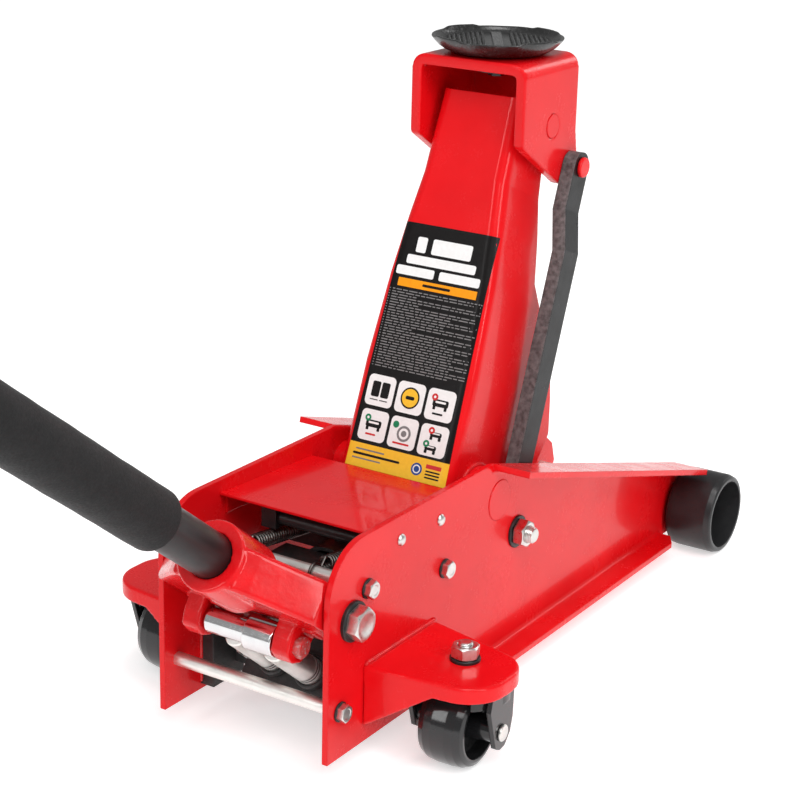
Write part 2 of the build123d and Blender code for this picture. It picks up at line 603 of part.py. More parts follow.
# ---------------------------------------------------------------- saddle: a shallow dish with four raised lugs on its rim
with BuildPart() as saddle:
    with BuildSketch(Plane(origin=at(SADDLE_X, 0, 0), x_dir=(1, 0, 0), z_dir=(0, -1, 0))):
        with BuildLine():
            Polyline((0, HEAD_TOP + 0.3), (43, HEAD_TOP + 0.3), (51, HEAD_TOP + 4), (SADDLE_R, HEAD_TOP + 9.5),
                     (SADDLE_R, HEAD_TOP + 12.5), (SADDLE_R - 1.5, HEAD_TOP + 14), (50, HEAD_TOP + 14),
                     (46.5, HEAD_TOP + 9), (0, HEAD_TOP + 9), close=True)
        make_face()
    revolve(axis=Axis(at(SADDLE_X, 0, 0), (0, 0, 1)))
    with BuildSketch(Plane(origin=at(SADDLE_X, 0, HEAD_TOP + 10), z_dir=(0, 0, 1))):
        with PolarLocations(0, 4, start_angle=22):
            with BuildLine():
                CenterArc((0, 0), 54.4, -19, 38)
                CenterArc((0, 0), 50.3, -19, 38)
                Line((50.3 * cos(radians(19)), 50.3 * sin(radians(19))), (54.4 * cos(radians(19)), 54.4 * sin(radians(19))))
                Line((50.3 * cos(radians(19)), -50.3 * sin(radians(19))), (54.4 * cos(radians(19)), -54.4 * sin(radians(19))))
            make_face()
    extrude(amount=SADDLE_TOP - HEAD_TOP - 10)
    with BuildSketch(Plane(origin=at(SADDLE_X, 0, HEAD_TOP - 12.5), z_dir=(0, 0, 1))):
        Circle(14.95)
    extrude(amount=14)
saddle.part.label = "saddle"
export_step(saddle.part, "parts/saddle.step")

with BuildPart() as saddle_screw:
    with BuildSketch(Plane(origin=at(SADDLE_X, 0, HEAD_TOP - 15), z_dir=(0, 0, 1))):
        Circle(18.0)
    extrude(amount=2.5)
    with BuildSketch(Plane(origin=at(SADDLE_X, 0, HEAD_TOP - 19), z_dir=(0, 0, 1))):
        RegularPolygon(7, 6)
    extrude(amount=4)
saddle_screw.part.label = "saddle_screw"
export_step(saddle_screw.part, "parts/saddle_screw.step")

# ---------------------------------------------------------------- level links beside the arm
LQS = -24.29 + 0.62     # link pivot along the arm's axis, from the arm pivot
LX, LZ = LINK_B[0] - LINK_Q[0], LINK_B[1] - LINK_Q[1]
LINK_LEN = sqrt(LX * LX + LZ * LZ)
LU = (LX / LINK_LEN, 0, LZ / LINK_LEN)
LN = (-LU[2], 0, LU[0])
with BuildPart() as link_bar_right:
    # plan of the bar: straight, then a joggle inwards near its upper end
    with BuildSketch(Plane(origin=at(LINK_Q[0], 0, LINK_Q[1]), x_dir=LU, z_dir=LN)):
        # local y = z_dir x x_dir, which is +Y
        Polygon((-14, -74.5), (238, -74.5), (272, -66.5), (LINK_LEN + 14, -66.5), (LINK_LEN + 14, -54.5),
                (270, -54.5), (236, -62.5), (-14, -62.5), align=None)
    extrude(amount=13, both=True)
    with BuildSketch(Plane(origin=at(LINK_Q[0] + LU[0] * LINK_LEN / 2, -50, LINK_Q[1] + LU[2] * LINK_LEN / 2), x_dir=LU, z_dir=(0, -1, 0))):
        SlotCenterToCenter(LINK_LEN, 25.0)
    extrude(amount=30, mode=Mode.INTERSECT)
    with BuildSketch(side(-50)):
        with Locations(LINK_Q):
            Circle(7.05)
        with Locations(LINK_B):
            Circle(6.05)
    extrude(amount=30, mode=Mode.SUBTRACT)
link_bar_right.part.label = "link_bar_right"
export_step(link_bar_right.part, "parts/link_bar_right.step")

with BuildPart() as link_bar_left:
    mirror(link_bar_right.part, about=Plane.XZ)
link_bar_left.part.label = "link_bar_left"
export_step(link_bar_left.part, "parts/link_bar_left.step")

# ---------------------------------------------------------------- ram rod, slotted crosshead, return springs
PX, PZ = LEVER_PIN
SLOT_Z = (ARM_P[1] - LEVER_R + PZ) / 2
with BuildPart() as piston_rod:
    with BuildSketch(Plane(origin=at(160, 0, RAM_Z), x_dir=(0, 1, 0), z_dir=(1, 0, 0))):
        Circle(13.95)
    extrude(amount=10)
    with BuildSketch(Plane(origin=at(170, 0, RAM_Z), x_dir=(0, 1, 0), z_dir=(1, 0, 0))):
        Circle(11.0)
    extrude(amount=PX - 34 - 170)
piston_rod.part.label = "piston_rod"
export_step(piston_rod.part, "parts/piston_rod.step")

with BuildPart() as crosshead:
    with BuildSketch(side(40)):
        Polygon((PX - 34, 97), (PX - 18, 97), (PX - 18, 113), (PX - 34, 113), align=None)
    extrude(amount=80)
    with BuildSketch(Plane(origin=at(PX - 34, 0, RAM_Z), x_dir=(0, 1, 0), z_dir=(1, 0, 0))):
        Circle(11.5)
    extrude(amount=15.5)
    for y in (40, -32):
        with BuildSketch(side(y)) as plate:
            Polygon((PX - 34, 93), (PX + 18, 93), (PX + 18, 135.5), (PX - 16, 135.5), (PX - 34, 131), align=None)
            fillet(plate.vertices(), 3)
            with Locations((PX, SLOT_Z)):
                SlotOverall(31.5, 19.6, rotation=90, mode=Mode.SUBTRACT)
        extrude(amount=8)
crosshead.part.label = "crosshead"
export_step(crosshead.part, "parts/crosshead.step")

SPRINGS = {"right": -31.4, "left": 38.0}
S0, S1 = (ANCHOR[0] + 2, ANCHOR[1] + 4), (PX - 36, 126.5)
SDX, SDZ = S1[0] - S0[0], S1[1] - S0[1]
SLEN = sqrt(SDX * SDX + SDZ * SDZ)
SU = (SDX / SLEN, 0, SDZ / SLEN)


def spring_plane(y, t):
    return Plane(origin=at(S0[0] + SU[0] * t, y, S0[1] + SU[2] * t), x_dir=(0, 1, 0), z_dir=SU)


with BuildPart() as return_spring_right:
    with BuildSketch(spring_plane(SPRINGS["right"], 10)):
        Circle(7.0)
        Circle(5.2, mode=Mode.SUBTRACT)
    extrude(amount=SLEN - 20)
    for t, a in ((5.3, 5.7), (SLEN - 11, 6.0)):
        with BuildSketch(spring_plane(SPRINGS["right"], t)):
            Rectangle(2.2, 13)
        extrude(amount=a)
return_spring_right.part.label = "return_spring_right"
export_step(return_spring_right.part, "parts/return_spring_right.step")

with BuildPart() as return_spring_left:
    with BuildSketch(spring_plane(SPRINGS["left"], 10)):
        Circle(7.0)
        Circle(5.2, mode=Mode.SUBTRACT)
    extrude(amount=SLEN - 20)
    for t, a in ((5.3, 5.7), (SLEN - 11, 6.0)):
        with BuildSketch(spring_plane(SPRINGS["left"], t)):
            Rectangle(2.2, 13)
        extrude(amount=a)
return_spring_left.part.label = "return_spring_left"
export_step(return_spring_left.part, "parts/return_spring_left.step")

# ---------------------------------------------------------------- handle socket
# wishbone from the tube's mouth to the two pivot bolts, with two ears for the pump roller
with BuildPart() as handle_socket:
    with BuildSketch(Plane(origin=at(PIVOT[0], 0, PIVOT[1]), x_dir=HAND, z_dir=HAND_UP)) as wish:
        # local x along the handle, local y = z_dir x x_dir
        Polygon((86, -27), (78, -36), (38, -73.2), (-14, -73.2), (-16, -66), (-14, -56), (12, -48), (22, -34), (22, 34),
                (12, 48), (-14, 56), (-16, 66), (-14, 73.2), (38, 73.2), (78, 36), (86, 27), align=None)
        fillet(wish.vertices().filter_by(lambda v: v.X > 76 and abs(v.Y) > 30), 6)
    extrude(amount=17, both=True)
    with BuildSketch(hand_side(-60)):
        Circle(17.0)
        with Locations((4, -13)):
            Rectangle(18, 14)
    extrude(amount=120)
    fillet(handle_socket.edges().filter_by(lambda e: e.length > 40 and abs(e.center().Y) > 50 and e.center().Z > PIVOT[1] + 10 and e.geom_type == GeomType.LINE), 3)
    with BuildSketch(hand_plane(34)):
        Circle(28.0)
    extrude(amount=54)
    fillet(handle_socket.edges().filter_by(GeomType.CIRCLE).filter_by(lambda e: e.length > 170 and e.center().X < DATUM_X - 30), 1.4)
    with BuildSketch(hand_plane(36)):
        Circle(TUBE_R + 0.06)
    extrude(amount=60, mode=Mode.SUBTRACT)
    for y in (-50, 34):
        with BuildSketch(hand_side(y)) as ear:
            Polygon((-6, -10), (-7, -30), (-3, -41), (8, -45), (19, -42), (23, -30), (24, -14), align=None)
            fillet(ear.vertices().filter_by(lambda v: v.Y < -32), 5)
        extrude(amount=16)
    with BuildSketch(hand_side(8)):
        Polygon((-2, -14), (24, -14), (21, -21), (1, -21), align=None)
    extrude(amount=24)
    with BuildSketch(side(80)):
        with Locations(PIVOT):
            Circle(8.05)
    extrude(amount=24.5, mode=Mode.SUBTRACT)
    with BuildSketch(side(-55.5)):
        with Locations(PIVOT):
            Circle(8.05)
    extrude(amount=24.5, mode=Mode.SUBTRACT)
    with BuildSketch(side(60)):
        with Locations((ROLL_X, ROLL_Z)):
            Circle(5.0)
    extrude(amount=120, mode=Mode.SUBTRACT)
    with BuildSketch(side(33.6)):
        with Locations((ROLL_X, ROLL_Z)):
            Circle(11.5)
    extrude(amount=26.6, mode=Mode.SUBTRACT)
    with BuildSketch(side(7)):
        with Locations((ROLL_X, ROLL_Z)):
            Circle(15.0)
    extrude(amount=40.6, mode=Mode.SUBTRACT)
handle_socket.part.label = "handle_socket"
export_step(handle_socket.part, "parts/handle_socket.step")

with BuildPart() as pump_roller:
    with BuildSketch(side(33)):
        with Locations((ROLL_X, ROLL_Z)):
            Circle(10.0)
    extrude(amount=66)
    with BuildSketch(side(-6)):
        with Locations((ROLL_X, ROLL_Z)):
            Circle(13.5)
    extrude(amount=27)
    fillet(pump_roller.edges().filter_by(GeomType.CIRCLE).group_by(Axis.Y)[-1], 2.5)
    fillet(pump_roller.edges().filter_by(GeomType.CIRCLE).filter_by(lambda e: e.length > 80), 1.2)
    with BuildSketch(side(40)):
        with Locations((ROLL_X, ROLL_Z)):
            Circle(5.06)
    extrude(amount=80, mode=Mode.SUBTRACT)
pump_roller.part.label = "pump_roller"
export_step(pump_roller.part, "parts/pump_roller.step")

with BuildPart() as roller_bolt:
    with BuildSketch(side(53)):
        with Locations((ROLL_X, ROLL_Z)):
            Circle(5.0)
    extrude(amount=103)
    with BuildSketch(side(-50)):
        with Locations((ROLL_X, ROLL_Z)):
            RegularPolygon(8.5, 6)
    extrude(amount=6)
    with BuildSketch(side(53)):
        with Locations((ROLL_X, ROLL_Z)):
            Circle(8.0)
            Circle(5.0, mode=Mode.SUBTRACT)
    extrude(amount=3)
roller_bolt.part.label = "roller_bolt"
export_step(roller_bolt.part, "parts/roller_bolt.step")

# ---------------------------------------------------------------- pump plungers and release valve
PLUNGE_GAP = 1.0
with BuildPart() as pump_plunger_right:
    y, r = PLUNGERS[0]
    t0 = 13.5 + PLUNGE_GAP
    with BuildSketch(Plane(origin=at(MX - PUMP[0] * (REACH - t0), y, MZ - PUMP[2] * (REACH - t0)), x_dir=(0, 1, 0), z_dir=PUMP)):
        Circle(r)
    extrude(amount=REACH + 18 - t0)
    chamfer(pump_plunger_right.edges().filter_by(GeomType.CIRCLE), 1.0)
pump_plunger_right.part.label = "pump_plunger_right"
export_step(pump_plunger_right.part, "parts/pump_plunger_right.step")

with BuildPart() as pump_plunger_left:
    y, r = PLUNGERS[1]
    t0 = 10.0 + PLUNGE_GAP
    with BuildSketch(Plane(origin=at(MX - PUMP[0] * (REACH - t0), y, MZ - PUMP[2] * (REACH - t0)), x_dir=(0, 1, 0), z_dir=PUMP)):
        Circle(r)
    extrude(amount=REACH + 18 - t0)
    chamfer(pump_plunger_left.edges().filter_by(GeomType.CIRCLE), 1.0)
pump_plunger_left.part.label = "pump_plunger_left"
export_step(pump_plunger_left.part, "parts/pump_plunger_left.step")

with BuildPart() as release_valve_stem:
    with BuildSketch(Plane(origin=at(MX - PUMP[0] * 16, 32, MZ - PUMP[2] * 16), x_dir=(0, 1, 0), z_dir=PUMP)):
        Circle(4.0)
    extrude(amount=36)
    with BuildSketch(Plane(origin=at(MX - PUMP[0] * 24, 32, MZ - PUMP[2] * 24), x_dir=(0, 1, 0), z_dir=PUMP)):
        Circle(6.5)
        Rectangle(4, 20, mode=Mode.SUBTRACT)
    extrude(amount=9)
    with BuildSketch(Plane(origin=at(MX - PUMP[0] * 16, 32, MZ - PUMP[2] * 16), x_dir=(0, 1, 0), z_dir=PUMP)):
        Circle(6.5)
    extrude(amount=4)
release_valve_stem.part.label = "release_valve_stem"
export_step(release_valve_stem.part, "parts/release_valve_stem.step")

# ---------------------------------------------------------------- handle
JOINT_T = 560.0
BUTTON = hand_point(JOINT_T + 30, HANDLE_OFF + TUBE_R - 2)
with BuildPart() as handle_lower_tube:
    with BuildSketch(hand_plane(37)):
        Circle(TUBE_R)
    extrude(amount=JOINT_T - 37)
    with BuildSketch(hand_plane(39)):
        Circle(TUBE_R - 2.0)
    extrude(amount=JOINT_T - 39, mode=Mode.SUBTRACT)
handle_lower_tube.part.label = "handle_lower_tube"
export_step(handle_lower_tube.part, "parts/handle_lower_tube.step")

with BuildPart() as handle_upper_tube:
    with BuildSketch(hand_plane(JOINT_T)):
        Circle(TUBE_R)
        Circle(TUBE_R - 2.0, mode=Mode.SUBTRACT)
    extrude(amount=HANDLE_END - 6 - JOINT_T)
    with BuildSketch(hand_plane(JOINT_T - 45)):
        Circle(TUBE_R - 2.0)
        Circle(TUBE_R - 4.0, mode=Mode.SUBTRACT)
    extrude(amount=60)
    with BuildSketch(Plane(origin=at(BUTTON[0], 0, BUTTON[1]), x_dir=(0, 1, 0), z_dir=HAND_UP)):
        Circle(4.0)
    extrude(amount=12, mode=Mode.SUBTRACT)
handle_upper_tube.part.label = "handle_upper_tube"
export_step(handle_upper_tube.part, "parts/handle_upper_tube.step")

with BuildPart() as foam_sleeve:
    with BuildSketch(hand_plane(165.2)):
        Circle(SLEEVE_R)
    extrude(amount=335)
    fillet(foam_sleeve.edges().filter_by(GeomType.CIRCLE), 4)
    with BuildSketch(hand_plane(150)):
        Circle(TUBE_R)
    extrude(amount=400, mode=Mode.SUBTRACT)
foam_sleeve.part.label = "foam_sleeve"
export_step(foam_sleeve.part, "parts/foam_sleeve.step")

with BuildPart() as handle_grip:
    with BuildSketch(hand_plane(HANDLE_END - 130)):
        Circle(TUBE_R + 3.3)
        Circle(TUBE_R, mode=Mode.SUBTRACT)
    extrude(amount=124)
    with BuildSketch(hand_plane(HANDLE_END - 6)):
        Circle(TUBE_R + 3.3)
    extrude(amount=6)
    fillet(handle_grip.edges().filter_by(GeomType.CIRCLE).filter_by(lambda e: e.length > 125 and e.center().Z > hand_point(HANDLE_END - 2, 0)[1]), 4)
handle_grip.part.label = "handle_grip"
export_step(handle_grip.part, "parts/handle_grip.step")

# spring button that holds the two handle halves together
with BuildPart() as handle_button:
    with BuildSketch(Plane(origin=at(BUTTON[0], 0, BUTTON[1]), x_dir=(0, 1, 0), z_dir=HAND_UP)):
        Circle(4.0)
    extrude(amount=5.2)
    fillet(handle_button.edges().group_by(Axis.Z)[-1], 1.5)
handle_button.part.label = "handle_button"
export_step(handle_button.part, "parts/handle_button.step")

# ---------------------------------------------------------------- casters
# right caster: the fork's own axes are T (forward along the wheel) and A (outwards along the axle)
CA = radians(-CASTER_DEG)
CT = (cos(CA), -sin(CA), 0)
CO = (-sin(CA), -cos(CA), 0)
FORK_TOP = CASTER_TOP - 4.3
CWX, CWY = CASTER[0] - CT[0] * TRAIL, -CASTER[1] - CT[1] * TRAIL
with BuildPart() as caster_fork_right:
    with BuildSketch(Plane(origin=at(CASTER[0], -CASTER[1], 58), z_dir=(0, 0, 1))):
        Circle(37.5)
    extrude(amount=FORK_TOP - 58)
    fillet(caster_fork_right.edges().group_by(Axis.Z)[-1], 4)
    with BuildSketch(Plane(origin=at(CASTER[0], -CASTER[1], 50), z_dir=(0, 0, 1))):
        Circle(34.0)
    extrude(amount=FORK_TOP - 53, mode=Mode.SUBTRACT)
    for d in (1, -1):
        with BuildSketch(Plane(origin=at(CASTER[0] + CO[0] * 33.2 * d, -CASTER[1] + CO[1] * 33.2 * d, 0), x_dir=CT, z_dir=CO)) as leg:
            # local x = CT, local y = up
            Polygon((-22, 69), (-25, 58), (-15, 24), (-8, 20.5), (0, 21.5), (8, 30), (11.5, 42), (12.5, 69), align=None)
            fillet(leg.vertices().filter_by(lambda v: v.Y < 55), 4)
        extrude(amount=3.8 * d)
    with BuildSketch(Plane(origin=at(CASTER[0], -CASTER[1], 20), x_dir=CT, z_dir=(0, 0, 1))):
        Rectangle(100, 45)
    extrude(amount=46.5, mode=Mode.SUBTRACT)
    with BuildSketch(Plane(origin=at(CASTER[0], -CASTER[1], 60), z_dir=(0, 0, 1))):
        Circle(6.05)
    extrude(amount=30, mode=Mode.SUBTRACT)
    with BuildSketch(Plane(origin=at(CWX - CO[0] * 45, CWY - CO[1] * 45, CASTER_R), x_dir=CT, z_dir=CO)):
        Circle(5.0)
    extrude(amount=90, mode=Mode.SUBTRACT)
caster_fork_right.part.label = "caster_fork_right"
export_step(caster_fork_right.part, "parts/caster_fork_right.step")

with BuildPart() as caster_axle_right:
    with BuildSketch(Plane(origin=at(CWX - CO[0] * 37, CWY - CO[1] * 37, CASTER_R), x_dir=CT, z_dir=CO)):
        Circle(5.0)
    extrude(amount=74)
    for d in (1, -1):
        with BuildSketch(Plane(origin=at(CWX + CO[0] * 37 * d, CWY + CO[1] * 37 * d, CASTER_R), x_dir=CT, z_dir=(CO[0] * d, CO[1] * d, 0))):
            Circle(6.8)
        extrude(amount=2.6)
    chamfer(caster_axle_right.edges().filter_by(GeomType.CIRCLE).filter_by(lambda e: e.length > 42), 0.7)
caster_axle_right.part.label = "caster_axle_right"
export_step(caster_axle_right.part, "parts/caster_axle_right.step")

with BuildPart() as caster_wheel_right:
    with BuildSketch(Plane(origin=at(CWX, CWY, CASTER_R), x_dir=CO, z_dir=CT)) as wp:
        with BuildLine():
            Polyline((-19.5, 28.5), (-18, 31.8), (-13, 34.2), (-6, CASTER_R), (6, CASTER_R), (13, 34.2), (18, 31.8), (19.5, 28.5), (19.5, 26.5),
                     (8, 24.5), (8, 11.5), (32.8, 9.0), (32.8, 5.05), (-32.8, 5.05), (-32.8, 9.0), (-8, 11.5), (-8, 24.5), (-19.5, 26.5), close=True)
        make_face()
    revolve(axis=Axis(at(CWX, CWY, CASTER_R), CO))
caster_wheel_right.part.label = "caster_wheel_right"
export_step(caster_wheel_right.part, "parts/caster_wheel_right.step")

with BuildPart() as caster_fork_left:
    mirror(caster_fork_right.part, about=Plane.XZ)
caster_fork_left.part.label = "caster_fork_left"
export_step(caster_fork_left.part, "parts/caster_fork_left.step")

with BuildPart() as caster_axle_left:
    mirror(caster_axle_right.part, about=Plane.XZ)
caster_axle_left.part.label = "caster_axle_left"
export_step(caster_axle_left.part, "parts/caster_axle_left.step")

with BuildPart() as caster_wheel_left:
    mirror(caster_wheel_right.part, about=Plane.XZ)
caster_wheel_left.part.label = "caster_wheel_left"
export_step(caster_wheel_left.part, "parts/caster_wheel_left.step")

# ---------------------------------------------------------------- front rollers
with BuildPart() as front_wheel_right:
    with BuildSketch(Plane(origin=at(WHEEL_X, 0, WHEEL_R), x_dir=(0, -1, 0), z_dir=(1, 0, 0))):
        with BuildLine():
            Polyline((WHEEL_Y0, 10), (WHEEL_Y0, 34), (WHEEL_Y0 + 3, WHEEL_R - 0.6), (WHEEL_Y0 + 8, WHEEL_R), (WHEEL_Y1 - 6, WHEEL_R),
                     (WHEEL_Y1 - 1, WHEEL_R - 1.5), (WHEEL_Y1, 35), (WHEEL_Y1, 32.5), (WHEEL_Y0 + 9, 29.5), (WHEEL_Y0 + 7, 27),
                     (WHEEL_Y0 + 7, 14.5), (107, 13), (107, AXLE_R + 0.05), (WHEEL_Y0, AXLE_R + 0.05), close=True)
        make_face()
    revolve(axis=Axis(at(WHEEL_X, 0, WHEEL_R), (0, 1, 0)))
front_wheel_right.part.label = "front_wheel_right"
export_step(front_wheel_right.part, "parts/front_wheel_right.step")

with BuildPart() as front_wheel_left:
    mirror(front_wheel_right.part, about=Plane.XZ)
front_wheel_left.part.label = "front_wheel_left"
export_step(front_wheel_left.part, "parts/front_wheel_left.step")
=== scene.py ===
import bpy, bmesh, math, random
from mathutils import Vector, Matrix
from math import sin, cos, radians, pi, sqrt, tan, atan2


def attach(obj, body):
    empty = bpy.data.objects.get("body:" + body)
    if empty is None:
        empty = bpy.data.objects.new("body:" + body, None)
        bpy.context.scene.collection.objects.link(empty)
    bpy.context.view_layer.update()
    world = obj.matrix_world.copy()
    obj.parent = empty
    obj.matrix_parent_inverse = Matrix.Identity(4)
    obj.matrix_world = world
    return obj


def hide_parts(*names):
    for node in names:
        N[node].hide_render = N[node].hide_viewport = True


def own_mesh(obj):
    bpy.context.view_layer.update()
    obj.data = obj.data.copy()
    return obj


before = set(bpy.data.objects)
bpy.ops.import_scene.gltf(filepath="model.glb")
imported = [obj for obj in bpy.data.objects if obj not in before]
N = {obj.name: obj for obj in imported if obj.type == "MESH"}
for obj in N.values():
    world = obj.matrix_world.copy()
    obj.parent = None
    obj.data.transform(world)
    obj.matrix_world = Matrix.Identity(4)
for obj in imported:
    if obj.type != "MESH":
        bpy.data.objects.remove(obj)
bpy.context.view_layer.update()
random.seed(7)
MM = 0.001
DX = 0.1228


def P(x, y, z):
    """Drawing dimensions in mm (x from the side plates' rear edge) to the frame, in metres."""
    return Vector((DX + x * MM, y * MM, z * MM))


# ------------------------------------------------------------------ camera
AZ, EL, ROLL = radians(-57.44), radians(18.87), radians(1.44)
back = Vector((sin(AZ) * cos(EL), -cos(AZ) * cos(EL), sin(EL)))
fwd = -back
r0 = fwd.cross(Vector((0, 0, 1))).normalized()
u0 = r0.cross(fwd)
r2 = r0 * cos(ROLL) + u0 * sin(ROLL)
u2 = -r0 * sin(ROLL) + u0 * cos(ROLL)
cam_data = bpy.data.cameras.new("photo_camera")
cam_data.sensor_width = 36.0
cam_data.lens = 92.02
cam_data.clip_end = 50
cam = bpy.data.objects.new("photo_camera", cam_data)
bpy.context.scene.collection.objects.link(cam)
m = Matrix((r2, u2, back)).transposed().to_4x4()
m.translation = P(-1117.81, -850.21, 773.37)
cam.matrix_world = m
bpy.context.scene.camera = cam
bpy.context.scene.view_settings.view_transform = "Standard"


# ------------------------------------------------------------------ materials
def new_mat(name):
    mt = bpy.data.materials.new(name)
    mt.use_nodes = True
    nt = mt.node_tree
    b = nt.nodes["Principled BSDF"]
    return mt, nt, b


def coords(nt, scale=(1, 1, 1)):
    tc = nt.nodes.new("ShaderNodeTexCoord")
    mp = nt.nodes.new("ShaderNodeMapping")
    mp.inputs["Scale"].default_value = scale
    nt.links.new(tc.outputs["Object"], mp.inputs["Vector"])
    return mp.outputs["Vector"]


def noise(nt, vec, scale, detail=3.0, rough=0.55):
    n = nt.nodes.new("ShaderNodeTexNoise")
    n.inputs["Scale"].default_value = scale
    n.inputs["Detail"].default_value = detail
    n.inputs["Roughness"].default_value = rough
    nt.links.new(vec, n.inputs["Vector"])
    return n.outputs["Fac"]


def ramp(nt, fac, a, b, lo=0.0, hi=1.0):
    """Map fac from [a, b] to [lo, hi], clamped."""
    mr = nt.nodes.new("ShaderNodeMapRange")
    mr.inputs["From Min"].default_value = a
    mr.inputs["From Max"].default_value = b
    mr.inputs["To Min"].default_value = lo
    mr.inputs["To Max"].default_value = hi
    nt.links.new(fac, mr.inputs["Value"])
    return mr.outputs["Result"]


def mix(nt, fac, ca, cb):
    mx = nt.nodes.new("ShaderNodeMix")
    mx.data_type = "RGBA"
    for i, c in ((6, ca), (7, cb)):
        if isinstance(c, tuple):
            mx.inputs[i].default_value = (*c, 1.0)
        else:
            nt.links.new(c, mx.inputs[i])
    if isinstance(fac, float):
        mx.inputs[0].default_value = fac
    else:
        nt.links.new(fac, mx.inputs[0])
    return mx.outputs[2]


def bump(nt, height, strength, distance, normal=None):
    bp = nt.nodes.new("ShaderNodeBump")
    bp.inputs["Strength"].default_value = strength
    bp.inputs["Distance"].default_value = distance
    nt.links.new(height, bp.inputs["Height"])
    if normal is not None:
        nt.links.new(normal, bp.inputs["Normal"])
    return bp.outputs["Normal"]


def bevel(nt, radius, samples=6):
    bv = nt.nodes.new("ShaderNodeBevel")
    bv.samples = samples
    bv.inputs["Radius"].default_value = radius
    return bv.outputs["Normal"]


def add_math(nt, a, b, op="ADD"):
    mm = nt.nodes.new("ShaderNodeMath")
    mm.operation = op
    for i, q in ((0, a), (1, b)):
        if isinstance(q, float):
            mm.inputs[i].default_value = q
        else:
            nt.links.new(q, mm.inputs[i])
    return mm.outputs[0]


def surface(name, ca, cb, metal=0.0, rough=(0.3, 0.4), mottle=40.0, grain=900.0, grain_mm=0.02, big=120.0, big_mm=0.0,
            bevel_mm=0.0, coat=0.0, coat_rough=0.05, stretch=(1, 1, 1), spec=0.5, flecks=None, sheen=0.0):
    """One procedural finish: two tones mixed by a mottle, roughness that varies, a grain bump and softened edges."""
    mt, nt, b = new_mat(name)
    v = coords(nt)
    vs = coords(nt, stretch)
    m1 = noise(nt, v, mottle, 4.0)
    col = mix(nt, ramp(nt, m1, 0.3, 0.7), ca, cb)
    if flecks is not None:
        fc, fscale, f0, f1 = flecks
        col = mix(nt, ramp(nt, noise(nt, v, fscale, 6.0, 0.65), f0, f1), col, fc)
    nt.links.new(col, b.inputs["Base Color"])
    b.inputs["Metallic"].default_value = metal
    g = noise(nt, vs, grain, 4.0, 0.6)
    rr = add_math(nt, ramp(nt, noise(nt, v, mottle * 2.3, 5.0), 0.3, 0.7, rough[0], rough[1]), ramp(nt, g, 0.3, 0.7, -0.02, 0.02))
    nt.links.new(rr, b.inputs["Roughness"])
    nrm = bevel(nt, bevel_mm * MM) if bevel_mm else None
    if big_mm:
        nrm = bump(nt, noise(nt, v, big, 3.0), 1.0, big_mm * MM, nrm)
    nrm = bump(nt, g, 1.0, grain_mm * MM, nrm)
    nt.links.new(nrm, b.inputs["Normal"])
    b.inputs["Coat Weight"].default_value = coat
    b.inputs["Coat Roughness"].default_value = coat_rough
    b.inputs["Specular IOR Level"].default_value = spec
    b.inputs["Sheen Weight"].default_value = sheen
    return mt


RED_A, RED_B = (0.78, 0.0055, 0.0095), (0.68, 0.0040, 0.0070)
red = surface("red_enamel", RED_A, RED_B, rough=(0.20, 0.30), mottle=14.0, grain=420.0, grain_mm=0.012, big=70.0, big_mm=0.05,
              bevel_mm=1.5, coat=0.22, coat_rough=0.05, spec=0.14)
red_cast = surface("red_enamel_on_casting", RED_A, (0.60, 0.006, 0.009), rough=(0.20, 0.32), mottle=30.0, grain=520.0, grain_mm=0.05, big=110.0,
                   big_mm=0.35, coat=0.35, coat_rough=0.05, spec=0.2)
red_weld = surface("red_enamel_on_weld", RED_A, (0.5, 0.005, 0.008), rough=(0.18, 0.3), mottle=60.0, grain=600.0, grain_mm=0.04, big=260.0,
                   big_mm=0.25, coat=0.4, coat_rough=0.06, spec=0.2)
red_dull = surface("red_overspray_on_steel", (0.60, 0.02, 0.025), (0.34, 0.12, 0.11), rough=(0.3, 0.5), mottle=170.0, grain=900.0, grain_mm=0.03,
                   bevel_mm=0.4, coat=0.3, flecks=((0.42, 0.42, 0.41), 380.0, 0.56, 0.62))
zinc = surface("zinc_plated_steel", (0.70, 0.69, 0.66), (0.58, 0.58, 0.57), metal=1.0, rough=(0.26, 0.38), mottle=120.0, grain=2600.0,
               grain_mm=0.008, bevel_mm=0.35, big=500.0, big_mm=0.015, flecks=((0.48, 0.48, 0.47), 520.0, 0.62, 0.72))
chrome = surface("ground_chrome", (0.74, 0.74, 0.74), (0.66, 0.66, 0.67), metal=1.0, rough=(0.10, 0.19), mottle=60.0, grain=1900.0,
                 grain_mm=0.003, bevel_mm=0.4)
satin_rod = surface("satin_steel_rod", (0.86, 0.84, 0.80), (0.76, 0.75, 0.72), metal=0.85, rough=(0.30, 0.42), mottle=80.0, grain=3000.0,
                    grain_mm=0.006, bevel_mm=0.4, stretch=(1, 0.05, 1))
spring_steel = surface("spring_wire_steel", (0.20, 0.19, 0.18), (0.09, 0.085, 0.08), metal=1.0, rough=(0.25, 0.42), mottle=220.0, grain=2400.0,
                       grain_mm=0.01)
black_paint = surface("black_steel_paint", (0.016, 0.016, 0.017), (0.026, 0.026, 0.027), rough=(0.26, 0.42), mottle=60.0, grain=1100.0,
                      grain_mm=0.02, big=160.0, big_mm=0.05, bevel_mm=0.9, coat=0.15, coat_rough=0.2, spec=0.3)
